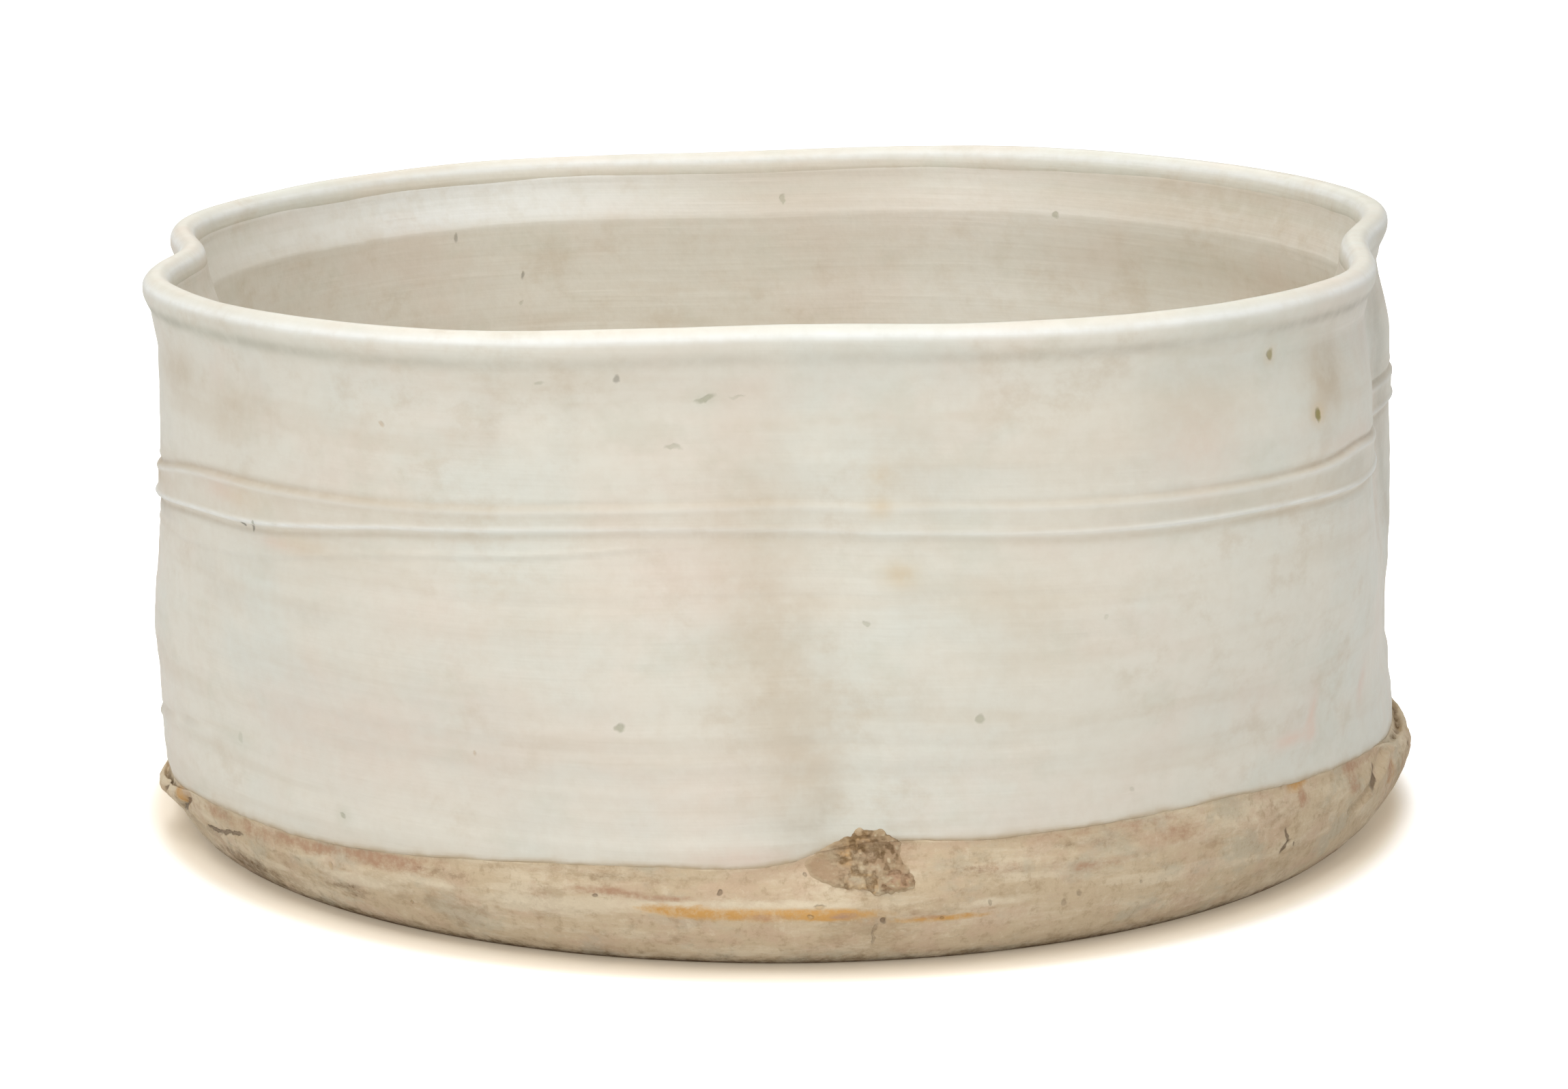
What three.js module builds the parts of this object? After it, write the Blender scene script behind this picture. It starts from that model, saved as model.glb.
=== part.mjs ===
// A wide, low stoneware bowl: a thrown wall pressed in at four sides and set in a round saucer of
// bare clay, with a rolled rim and a pale glaze inside and out. Millimetres, +Z up, the front at -Y.
// The origin is the centre of the foot, on the table. Angles are degrees, anticlockwise from +X.

import * as THREE from 'three';
import { ParametricGeometry } from 'three/addons/geometries/ParametricGeometry.js';

// The rim, measured at the centre of its roll.
const RIM_HEIGHT = 136.7;
const RIM_RADIUS = 155.4;
const RIM_OVAL = 1.6;
const RIM_SHIFT = -0.6;
const RIM_TILT = 0.019;
const ROLL_RADIUS = 3.3;

// The four tucks, by the side of the pot that each presses in: the depth at the rim and in the
// wall, the share of it left at the foot, the half width above and at the foot, how far the crease
// turns on its way down, and the share of its foot that dents the base's edge too.
const TUCKS = [
  { angle: -10, rim: 13.7, wall: 17.1, foot: 0.08, width: 16, footWidth: 16, turn: 0, dent: 0 },
  { angle: 95, rim: 15.2, wall: 15.2, foot: 0.4, width: 19.5, footWidth: 15, turn: 0, dent: 0.5 },
  { angle: 183, rim: 12.6, wall: 12.6, foot: 0.45, width: 12, footWidth: 12, turn: 0, dent: 0 },
  { angle: 270, rim: 20.3, wall: 20.3, foot: 0.3, width: 22.5, footWidth: 9, turn: 6, dent: 1 },
];
const TUCK_FADE = { from: 17, to: 105 };

// The wall: its foot radius, the heights where it spreads to the rim's outline, how much it leans
// out on the right, and its swellings. The belt and the bend to the lip hang from the rim.
const FOOT_WALL_RADIUS = 153.3;
const WALL_SPREAD = { from: 39, to: 80 };
const WALL_LEAN = 2.5;
const LOBE = { angle: 28, width: 25, reach: 1.7 };
const BELLY = { height: 57, width: 14, reach: 1.05 };
const BELT_DROP = 35.2;
const BELT_HEIGHT = 12.5;
const BELT_TOP = RIM_HEIGHT - BELT_DROP;
const BELT = { bottom: BELT_TOP - BELT_HEIGHT, top: BELT_TOP, edge: 1.5, reach: 0.6 };
const BEND_DROP = 4;
const BEND_HEIGHT = 24.7;
const BEND = { from: RIM_HEIGHT - BEND_DROP - BEND_HEIGHT, to: RIM_HEIGHT - BEND_DROP };
const SECTION_SEAM = (BELT.bottom + BELT.top) / 2;

// Clay and glaze thicknesses, and the clearance between pieces.
const COAT = 0.7;
const GAP = 0.3;
const WALL_AT_FOOT = 8;
const WALL_AT_RIM = 4.6;

// The base: a flat round floor whose edge is curled up round the foot of the wall. Its edge is
// drawn out into ears at the side tucks, and dented over the last rise below the glaze.
const FLOOR_THICKNESS = 9;
const EDGE_PROUD = 0.9;
const EDGE_RADIUS = FOOT_WALL_RADIUS + EDGE_PROUD;
const EDGE_CURL = 11.2;
const FOOT_RADIUS = EDGE_RADIUS - EDGE_CURL;
const EDGE_HEIGHT = 20;
const EDGE_FULLNESS = 1.25;
const EDGE_WALL = 3.5;
const EDGE_ROUNDING = 0.5;
const EDGE_LIP = 1;
const DENT_RISE = 15;
const EARS = [
  { angle: -3, width: 14, reach: 3.2 },
  { angle: 190, width: 22, reach: -2.2 },
];

// The line where the glaze stops: its mean height, its tilt and its second wave round the pot.
const GLAZE_LINE = { mean: 19, tilt: 7.5, tiltAngle: 295, wave: 3, waveAngle: 290 };

// The coil pressed into the corner inside, and the rough dab of clay under the glaze in front.
const COIL_SIZE = 8;
const COIL_HOLLOW = 0.36;
const COIL_BLUNT = 0.8;
const DAB = { angle: 277, drop: 5.8, halfWidth: 13, halfHeight: 5.2, thickness: 2.2, lift: 0.8 };

// The lip's glazed outline as steps out from the rim and up from the roll's centre, in roll radii.
const LIP_OUTSIDE = [[0.27, -2.9], [0.7, -1.64], [1, -0.48], [0.79, 0.58]];
const LIP_CREST = [0, 1];
const LIP_INSIDE = [[-0.79, 0.58], [-1, -0.42], [-1.39, -2.12], [-2, -4.09]];
const LIP_BOTTOM = RIM_HEIGHT - 4.25 * ROLL_RADIUS;
const NECK = RIM_HEIGHT - 0.82 * ROLL_RADIUS;

// Facets: steps round the pot, the heights of the wall's rows, the shares of the curled edge.
const STEPS_AROUND = 72;
const OUTSIDE_ROWS = [WALL_SPREAD.from, BELLY.height, (BELLY.height + BELT.bottom) / 2, BELT.bottom,
  BELT.bottom + BELT.edge, BELT.top - BELT.edge, BELT.top, (BELT.top + LIP_BOTTOM) / 2, LIP_BOTTOM];
const INSIDE_ROWS = [BELT.top, BELT.bottom, BELLY.height, WALL_SPREAD.from];
const EDGE_SHARES = [0, 0.1, 0.25, 0.45, 0.65, 0.85];
const DAB_SPOKES = 14;
const DAB_RINGS = 3;

const WALL_CLAY = { color: 0xb79b7c, roughness: 0.85, metalness: 0 };
const BARE_CLAY = { color: 0xb8a083, roughness: 0.9, metalness: 0 };
const ROUGH_CLAY = { color: 0x9c7c5c, roughness: 0.95, metalness: 0 };
const GLAZE = { color: 0xd9d4c8, roughness: 0.35, metalness: 0 };

const { degToRad, euclideanModulo, lerp, mapLinear, radToDeg, smoothstep } = THREE.MathUtils;

/** Cosine of an angle in degrees. */
function cosine(angle) {
  return Math.cos(degToRad(angle));
}

/** A smooth bump round the pot: 1 at its own angle, falling to 0 on both sides. */
function bump(angle, centre, width) {
  const away = euclideanModulo(angle - centre + 180, 360) - 180;
  return Math.exp(-((away / width) ** 2));
}

/** Radius of the rim as it was before the tucks were pressed. */
function openRadius(angle) {
  return RIM_RADIUS - RIM_OVAL * cosine(2 * angle) + RIM_SHIFT * cosine(angle);
}

/** Radius of the rim's roll, at its centre. */
function rimRadius(angle) {
  const depth = TUCKS.reduce((sum, tuck) => sum + tuck.rim * bump(angle, tuck.angle, tuck.width), 0);
  return openRadius(angle) - depth;
}

/** How deep one tuck presses the wall in at an angle and height. */
function tuckDepth(tuck, angle, height) {
  const fade = smoothstep(height, TUCK_FADE.from, TUCK_FADE.to);
  const crease = tuck.angle + tuck.turn * (1 - height / RIM_HEIGHT);
  return tuck.wall * lerp(tuck.foot, 1, fade) * bump(angle, crease, lerp(tuck.footWidth, tuck.width, fade));
}

/** Radius of the glazed outside of the pot at an angle and height, below the lip. */
function wallRadius(angle, height) {
  const lean = WALL_LEAN * (1 + cosine(angle));
  const body = openRadius(angle) + lean + LOBE.reach * bump(angle, LOBE.angle, LOBE.width);
  const spread = smoothstep(height, WALL_SPREAD.from, WALL_SPREAD.to);
  const belly = BELLY.reach * Math.exp(-(((height - BELLY.height) / BELLY.width) ** 2));
  const belt = BELT.reach * smoothstep(height, BELT.bottom, BELT.bottom + BELT.edge)
    * (1 - smoothstep(height, BELT.top - BELT.edge, BELT.top));
  const tucked = TUCKS.reduce((sum, tuck) => sum + tuckDepth(tuck, angle, height), 0);
  const pressed = lerp(FOOT_WALL_RADIUS, body, spread) + belly + belt - tucked;
  return lerp(pressed, rimRadius(angle), smoothstep(height, BEND.from, BEND.to));
}

/** Height where the glaze stops and the bare edge of the base begins. */
function glazeLine(angle) {
  return GLAZE_LINE.mean + GLAZE_LINE.tilt * cosine(angle - GLAZE_LINE.tiltAngle)
    + GLAZE_LINE.wave * cosine(2 * (angle - GLAZE_LINE.waveAngle));
}

/** Outer radius of the base's curled edge at an angle and height. */
function edgeRadius(angle, height) {
  const line = glazeLine(angle);
  const ears = EARS.reduce((sum, ear) => sum + ear.reach * bump(angle, ear.angle, ear.width), 0);
  const dents = TUCKS.reduce((sum, tuck) => sum + tuck.dent * tuckDepth(tuck, angle, line), 0);
  const reach = EDGE_RADIUS + ears - dents * smoothstep(height, line - DENT_RISE, line);
  const rise = Math.acos(1 - Math.min(height / EDGE_HEIGHT, 1));
  return lerp(FOOT_RADIUS, reach, Math.sin(rise) ** EDGE_FULLNESS);
}

/** Moves a line of [radius, height] points to its right by a distance, square to the line. */
function offsetLine(line, distance) {
  const points = line.map(([radius, height]) => new THREE.Vector2(radius, height));
  const legs = points.slice(1).map((point, index) => point.clone().sub(points[index]).normalize());
  return points.map((point, index) => {
    const before = legs[Math.max(index - 1, 0)];
    const after = legs[Math.min(index, legs.length - 1)];
    const along = before.clone().add(after).normalize();
    const reach = distance / along.dot(after);
    return [point.x + along.y * reach, point.y - along.x * reach];
  });
}

/** The radius at which a line of [radius, height] points first passes a height. */
function crossing(line, height) {
  const beyond = line.map((point) => Math.sign(point[1] - height));
  const index = beyond.findIndex((side, at) => at > 0 && side * beyond[at - 1] <= 0);
  const [start, end] = [line[index - 1], line[index]];
  return mapLinear(height, start[1], end[1], start[0], end[0]);
}

/** The part of a line of points between two heights, ended exactly on each. */
function between(line, start, end) {
  const [low, high] = [Math.min(start, end), Math.max(start, end)];
  const kept = line.filter(([, height]) => height > low && height < high);
  return [[crossing(line, start), start], ...kept, [crossing(line, end), end]];
}

/** The clay of the wall outside, from its foot up to the glaze line and on to the rim's crest. */
function clayOutside(angle) {
  const heights = [glazeLine(angle), ...OUTSIDE_ROWS];
  const wall = heights.map((height) => [wallRadius(angle, height), height]);
  const lip = [...LIP_OUTSIDE, LIP_CREST, LIP_INSIDE[0]].map((steps) => lipPoint(angle, steps));
  const clay = offsetLine([...wall, ...lip], -COAT - GAP).slice(0, -1);
  const foot = FLOOR_THICKNESS + GAP;
  const seat = Math.min(edgeRadius(angle, foot) - EDGE_WALL - GAP, clay[0][0]);
  return [[seat, foot], ...clay];
}

/** A point of the lip's glazed outline. */
function lipPoint(angle, [out, up]) {
  return [rimRadius(angle) + out * ROLL_RADIUS, RIM_HEIGHT + up * ROLL_RADIUS];
}

/** The clay of the wall inside, from the rim's crest down to the foot. */
function clayInside(angle) {
  const outside = clayOutside(angle);
  const lip = [LIP_OUTSIDE.at(-1), LIP_CREST, ...LIP_INSIDE].map((steps) => lipPoint(angle, steps));
  const heights = [...INSIDE_ROWS, FLOOR_THICKNESS + GAP + COIL_SIZE, FLOOR_THICKNESS + GAP];
  const wall = heights.map((height) => {
    const thickness = mapLinear(height, FLOOR_THICKNESS, RIM_HEIGHT, WALL_AT_FOOT, WALL_AT_RIM);
    return [crossing(outside, height) - thickness, height];
  });
  return [...offsetLine(lip, -COAT - GAP).slice(1), ...wall];
}

/** The coil's hollow face, from its blunt top beside the wall to its blunt toe on the floor. */
function coilFace(angle) {
  const toe = FLOOR_THICKNESS + GAP;
  const radius = crossing(clayInside(angle), toe + COIL_SIZE) - GAP;
  const hollow = COIL_SIZE * COIL_HOLLOW;
  const end = radius - COIL_SIZE;
  return [[radius - COIL_BLUNT, toe + COIL_SIZE], [radius - hollow, toe + hollow], [end, toe + COIL_BLUNT],
    [end, toe]];
}

/** Makes a named piece from a geometry and a finish. */
function piece(name, geometry, finish) {
  const mesh = new THREE.Mesh(geometry, new THREE.MeshStandardMaterial(finish));
  mesh.name = name;
  return mesh;
}

/** A point in its place round the pot; the pot stands taller on the right. */
function placed(angle, radius, height) {
  const x = radius * cosine(angle);
  return new THREE.Vector3(x, radius * Math.sin(degToRad(angle)), height * (1 + RIM_TILT * x / RIM_HEIGHT));
}

/**
 * A piece carried once round the pot. section(angle) lists its [radius, height] points
 * anticlockwise, as a closed ring or, for a piece with a middle, from axis to axis.
 */
function carried(name, section, finish, closed = true) {
  const angles = Array.from({ length: STEPS_AROUND }, (_, step) => 360 * step / STEPS_AROUND);
  const sections = angles.map(section);
  const count = sections[0].length;
  const legs = closed ? count : count - 1;
  const points = sections.flatMap((line, step) => line.map((point) => placed(angles[step], ...point)));
  const faces = sections.flatMap((line, step) => line.slice(0, legs).flatMap((point, leg) => {
    const next = (leg + 1) % count;
    const after = (step + 1) % STEPS_AROUND;
    const corners = [[step, leg], [after, leg], [after, next], [step, next]];
    const [a, b, c, d] = corners.map(([at, index]) => at * count + index);
    return line[next][1] > point[1] ? [a, b, d, b, c, d] : [a, b, c, a, c, d];
  }));
  const geometry = new THREE.BufferGeometry().setFromPoints(points).setIndex(faces);
  geometry.computeVertexNormals();
  return piece(name, geometry, finish);
}

/** The base: a flat floor with its edge curled up outside the foot of the wall. */
function baseSection(angle) {
  const line = glazeLine(angle);
  const [foot, top] = clayOutside(angle);
  const curl = EDGE_SHARES.map((share) => [edgeRadius(angle, share * line), share * line]);
  const seat = [top[0] + GAP, line];
  const lip = [Math.max(edgeRadius(angle, line) - EDGE_ROUNDING, seat[0] + EDGE_LIP), line];
  return [[0, 0], ...curl, lip, seat, [foot[0] + GAP, FLOOR_THICKNESS], [0, FLOOR_THICKNESS]];
}

/** The lower thrown section of the wall, from the floor up to the seam under the belt. */
function lowerWallSection(angle) {
  const [foot, seam] = [FLOOR_THICKNESS + GAP, SECTION_SEAM - GAP / 2];
  return [...between(clayOutside(angle), foot, seam), ...between(clayInside(angle), seam, foot)];
}

/** The upper thrown section of the wall, from the seam up to the neck under the roll. */
function upperWallSection(angle) {
  const [seam, neck] = [SECTION_SEAM + GAP / 2, NECK - GAP / 2];
  return [...between(clayOutside(angle), seam, neck), ...between(clayInside(angle), neck, seam)];
}

/** The rolled rim: a rounded bead of clay on the neck of the wall. */
function rimRollSection(angle) {
  const neck = NECK + GAP / 2;
  const outside = clayOutside(angle);
  const inside = clayInside(angle).slice(1);
  const above = [...outside, ...inside].filter(([, height]) => height > neck);
  return [[crossing(outside, neck), neck], ...above, [crossing(inside, neck), neck]];
}

/** The clay under the glaze moved out by a distance, in two: the coats part on the rim's crest. */
function coatLines(angle, distance) {
  const outside = clayOutside(angle).slice(1);
  const inside = clayInside(angle).slice(1, -2);
  const floor = [0, FLOOR_THICKNESS + GAP];
  const moved = offsetLine([...outside, ...inside, ...coilFace(angle), floor], distance);
  const crest = outside.length - 1;
  const [radius, height] = moved[crest];
  return {
    outer: [...moved.slice(0, crest), [radius + GAP / 2, height]],
    inner: [[radius - GAP / 2, height], ...moved.slice(crest + 1)],
  };
}

/** The outer glaze, from the bare edge of the base up to the crest of the rim. */
function outerGlazeSection(angle) {
  const [face, back] = [GAP + COAT, GAP].map((distance) => {
    const [[radius], ...rest] = coatLines(angle, distance).outer;
    return [[radius, glazeLine(angle) + GAP], ...rest];
  });
  return [...face, ...back.reverse()];
}

/** The inner glaze, from the middle of the floor over the coil and up the wall to the rim's crest. */
function innerGlazeSection(angle) {
  const face = coatLines(angle, GAP + COAT).inner;
  const back = coatLines(angle, GAP).inner;
  return [...back.reverse(), ...face];
}

/** The coil in the corner between the wall and the floor. */
function coilSection(angle) {
  const toe = FLOOR_THICKNESS + GAP;
  const heel = [crossing(clayInside(angle).slice(1), toe) - GAP, toe];
  const face = coilFace(angle);
  const [[radius, top]] = face;
  return [heel, [radius + COIL_BLUNT, top], ...face];
}

/** The rough dab of clay: a low lens lying on the outside of the base's edge. */
function seamDab() {
  const middle = glazeLine(DAB.angle) - DAB.drop;
  const surface = (u, v, target) => {
    const spoke = 2 * Math.PI * (Math.round(u * DAB_SPOKES) % DAB_SPOKES) / DAB_SPOKES;
    const ring = Math.round(v * 2 * DAB_RINGS);
    const share = 1 - Math.abs(ring - DAB_RINGS) / DAB_RINGS;
    const stand = ring < DAB_RINGS ? DAB.thickness * (1 - share * share) : 0;
    const angle = DAB.angle + radToDeg(DAB.halfWidth * share * Math.cos(spoke) / EDGE_RADIUS);
    const height = middle - DAB.halfHeight * share * Math.sin(spoke);
    target.copy(placed(angle, edgeRadius(angle, height) + DAB.lift + stand, height));
  };
  return piece('seam_dab', new ParametricGeometry(surface, DAB_SPOKES, 2 * DAB_RINGS), ROUGH_CLAY);
}

const bowl = new THREE.Group();
bowl.add(
  carried('base_slab', baseSection, BARE_CLAY, false),
  carried('lower_wall', lowerWallSection, WALL_CLAY),
  carried('upper_wall', upperWallSection, WALL_CLAY),
  carried('rim_roll', rimRollSection, WALL_CLAY),
  carried('seam_coil', coilSection, WALL_CLAY),
  carried('outer_glaze', outerGlazeSection, GLAZE),
  carried('inner_glaze', innerGlazeSection, GLAZE, false),
  seamDab(),
);

export default bowl;
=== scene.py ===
"""Dresses a wide stoneware bowl: its thrown wall, rolled rim, bare foot, glaze, floor and lights."""

import logging
import math
from collections.abc import Callable, Iterable, Sequence
from dataclasses import dataclass, field
from enum import Enum
from typing import Any

import bmesh
import bpy
import numpy as np
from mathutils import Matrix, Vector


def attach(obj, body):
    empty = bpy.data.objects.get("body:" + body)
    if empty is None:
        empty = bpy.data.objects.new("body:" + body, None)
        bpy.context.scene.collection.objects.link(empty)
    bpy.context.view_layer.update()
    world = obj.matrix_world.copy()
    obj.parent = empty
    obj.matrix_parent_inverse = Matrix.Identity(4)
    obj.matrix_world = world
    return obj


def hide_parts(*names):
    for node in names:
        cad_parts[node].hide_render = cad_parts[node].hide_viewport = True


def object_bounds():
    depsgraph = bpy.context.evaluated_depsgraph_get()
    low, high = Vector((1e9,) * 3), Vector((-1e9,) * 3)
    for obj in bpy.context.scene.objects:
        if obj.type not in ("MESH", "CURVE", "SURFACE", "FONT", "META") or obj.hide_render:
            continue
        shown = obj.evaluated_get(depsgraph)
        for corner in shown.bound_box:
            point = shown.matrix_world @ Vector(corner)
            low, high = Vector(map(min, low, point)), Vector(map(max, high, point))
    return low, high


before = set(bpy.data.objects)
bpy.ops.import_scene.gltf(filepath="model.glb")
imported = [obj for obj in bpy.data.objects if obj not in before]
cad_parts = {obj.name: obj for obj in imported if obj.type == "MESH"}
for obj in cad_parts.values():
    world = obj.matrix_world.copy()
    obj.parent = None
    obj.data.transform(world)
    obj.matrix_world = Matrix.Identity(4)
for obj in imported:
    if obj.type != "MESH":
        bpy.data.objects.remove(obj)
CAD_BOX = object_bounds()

LOG = logging.getLogger("bowl")
MM = 0.001
FULL_TURN = 360.0
BOX_MARGIN = 1.2 * MM
NO_FLOOR = -1.0  # metres, too low to hold anything back
MARK_DEPTH = 8.0 * MM
MARK_EDGE = (1.45, 0.6)
MARK_WAVES = (2.4 * MM, 0.9 * MM)
WHITE = (1.0, 1.0, 1.0)
Array = np.ndarray
Colour = tuple[float, float, float]
Point = tuple[float, float, float]
Knots = Sequence[tuple[float, float]]


class Tint(Enum):
    """The tints of the glaze and the clay, each kept in a mesh attribute of its name: real stains, and in
    SHADE, TAN, MOSS and PALE also painted shade and painted highlights.
    """

    TAN = "tan"
    BLUSH = "blush"
    MOSS = "moss"
    SHADE = "shade"
    OCHRE = "ochre"
    FLASH = "flash"
    PALE = "pale"
    CLAY = "clay"


def smooth_step(value: Array, start: float, end: float) -> Array:
    """A smooth climb from 0 at start to 1 at end."""
    share = np.clip((value - start) / (end - start), 0.0, 1.0)
    return share * share * (3.0 - 2.0 * share)


def away_from(angle: Array, centre: float | Array) -> Array:
    """Degrees from a centre angle, between -180 and 180."""
    return (angle - centre + FULL_TURN / 2) % FULL_TURN - FULL_TURN / 2


def bell(value: Array, centre: float | Array, width: float | Array) -> Array:
    """A bell curve: 1 at its centre, falling off over its width."""
    return np.exp(-(((value - centre) / width) ** 2))


def bump(angle: Array, centre: float | Array, width: float | Array) -> Array:
    """A bell curve round the pot, in degrees."""
    return bell(away_from(angle, centre), 0.0, width)


def window(angle: Array, start: float, end: float, soft: float) -> Array:
    """1 between two angles and 0 outside them, with soft ends of a given width."""
    middle, half = (start + end) / 2, (end - start) / 2
    distance = np.abs(away_from(angle, middle))
    return 1.0 - smooth_step(distance, half - soft, half + soft)


def cubic(share: Array, start: Array, leave: Array, end: Array, arrive: Array) -> Array:
    """The cubic from a start to an end, given its slope at each, at shares of the way."""
    square, cube = share**2, share**3
    first = (2 * cube - 3 * square + 1) * start + (cube - 2 * square + share) * leave
    return first + (3 * square - 2 * cube) * end + (cube - square) * arrive


def round_pot(angle: Array, knots: Knots) -> Array:
    """A value that varies round the pot, as a smooth curve through its knots.

    Between two knots the value is the cubic that has both their values, and at each knot the
    slope of the straight line from the knot before to the knot after.

    Args:
        angle: degrees, any shape.
        knots: (degrees, value) pairs in rising order within one turn.

    Returns:
        The value at each angle.
    """
    places = np.array([place for place, _ in knots])
    values = np.array([value for _, value in knots])
    places = np.concatenate([places[-2:] - FULL_TURN, places, places[:2] + FULL_TURN])
    values = np.concatenate([values[-2:], values, values[:2]])
    slopes = np.zeros_like(values)
    slopes[1:-1] = (values[2:] - values[:-2]) / (places[2:] - places[:-2])
    turned = (angle - places[2]) % FULL_TURN + places[2]
    after = np.clip(np.searchsorted(places, turned, side="right"), 1, len(places) - 1)
    before = after - 1
    span = places[after] - places[before]
    share = (turned - places[before]) / span
    return cubic(share, values[before], span * slopes[before], values[after], span * slopes[after])


def held_in(values: Array, low: float, high: float) -> Array:
    """Coordinates eased back to stay inside the solids' box.

    Within a margin of a side, the distance past the margin's start follows a hyperbolic tangent,
    which never reaches the side.
    """
    over = np.maximum(values - (high - BOX_MARGIN), 0.0)
    under = np.maximum((low + BOX_MARGIN) - values, 0.0)
    return values - over + under + BOX_MARGIN * (np.tanh(over / BOX_MARGIN) - np.tanh(under / BOX_MARGIN))


def front_dense(steps: int) -> Array:
    """Degrees round the pot, twice as close together on the front half as on the back."""
    even = np.linspace(0.0, FULL_TURN, 3601)
    density = 1.0 + window(even, 186.0, 352.0, 12.0)
    total = np.concatenate([[0.0], np.cumsum((density[1:] + density[:-1]) / 2)])
    return np.interp(np.arange(steps) / steps, total / total[-1], even)


def pairs(radius: Array, height: Array) -> Array:
    """Points of a section: [angle, point, (radius, height)]."""
    return np.stack(np.broadcast_arrays(radius, height), axis=-1)


def curve_through(points: Array, samples: int) -> Array:
    """A smooth curve through the middle ones of a row of points.

    Each stretch is the cubic with both its points' values and, at each, half the step from the
    point before to the point after as its slope.

    Args:
        points: [angle, point, 2]. The first and the last only set the end slopes.
        samples: how many steps each stretch is cut into.

    Returns:
        [angle, sample, 2], from the second point to the last but one, both included.
    """
    slopes = (points[:, 2:] - points[:, :-2])[:, :, None] / 2
    share = (np.arange(samples) / samples)[None, None, :, None]
    start, end = points[:, 1:-2, None], points[:, 2:-1, None]
    flat = cubic(share, start, slopes[:, :-1], end, slopes[:, 1:]).reshape(len(points), -1, 2)
    return np.concatenate([flat, points[:, -2:-1]], axis=1)


class Noise:
    """Smooth random relief round the pot, which closes on itself after a full turn.

    A lattice of random values is laid over angle and height. Between its points the value is the
    smooth-step blend of the four round it.
    """

    ROWS = 256

    def __init__(self, seed: int, across: float, tall: float) -> None:
        """Lays the lattice.

        Args:
            seed: picks the random values.
            across: size of a lump round the pot, in millimetres.
            tall: size of a lump in height, in millimetres.
        """
        self.columns = max(3, round(2 * math.pi * POT.rim_radius_open / across))
        self.tall = tall
        shape = (self.columns, self.ROWS)
        self.lattice = np.random.default_rng(seed).uniform(-1.0, 1.0, shape)

    def at(self, angle: Array, height: Array) -> Array:
        """The relief, from -1 to 1, at angles and heights of one shape."""
        column = (angle % FULL_TURN) / FULL_TURN * self.columns
        row = height / self.tall
        left, low = np.floor(column).astype(int), np.floor(row).astype(int)
        across = smooth_step(column - left, 0.0, 1.0)
        up = smooth_step(row - low, 0.0, 1.0)
        left, right = left % self.columns, (left + 1) % self.columns
        low, high = low % self.ROWS, (low + 1) % self.ROWS
        bottom = self.lattice[left, low] * (1 - across) + self.lattice[right, low] * across
        top = self.lattice[left, high] * (1 - across) + self.lattice[right, high] * across
        return bottom * (1 - up) + top * up


def relief(seed: int, across: float, tall: float, angle: Array, height: Array) -> Array:
    """Three layers of noise, each half the size and half the strength of the one before."""
    layers = range(3)
    return sum(Noise(seed + i, across / 2**i, tall / 2**i).at(angle, height) / 2**i for i in layers)


def level_relief(seed: int, size: float, angle: Array) -> Array:
    """Relief that varies only round the pot."""
    return relief(seed, size, size, angle, 0 * angle)


@dataclass(frozen=True)
class Tuck:
    """A place where the wall is pressed in, in millimetres and degrees."""

    angle: float
    rim: float
    wall: float
    foot: float
    width: float
    foot_width: float
    turn: float = 0.0
    dent: float = 0.0


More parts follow.
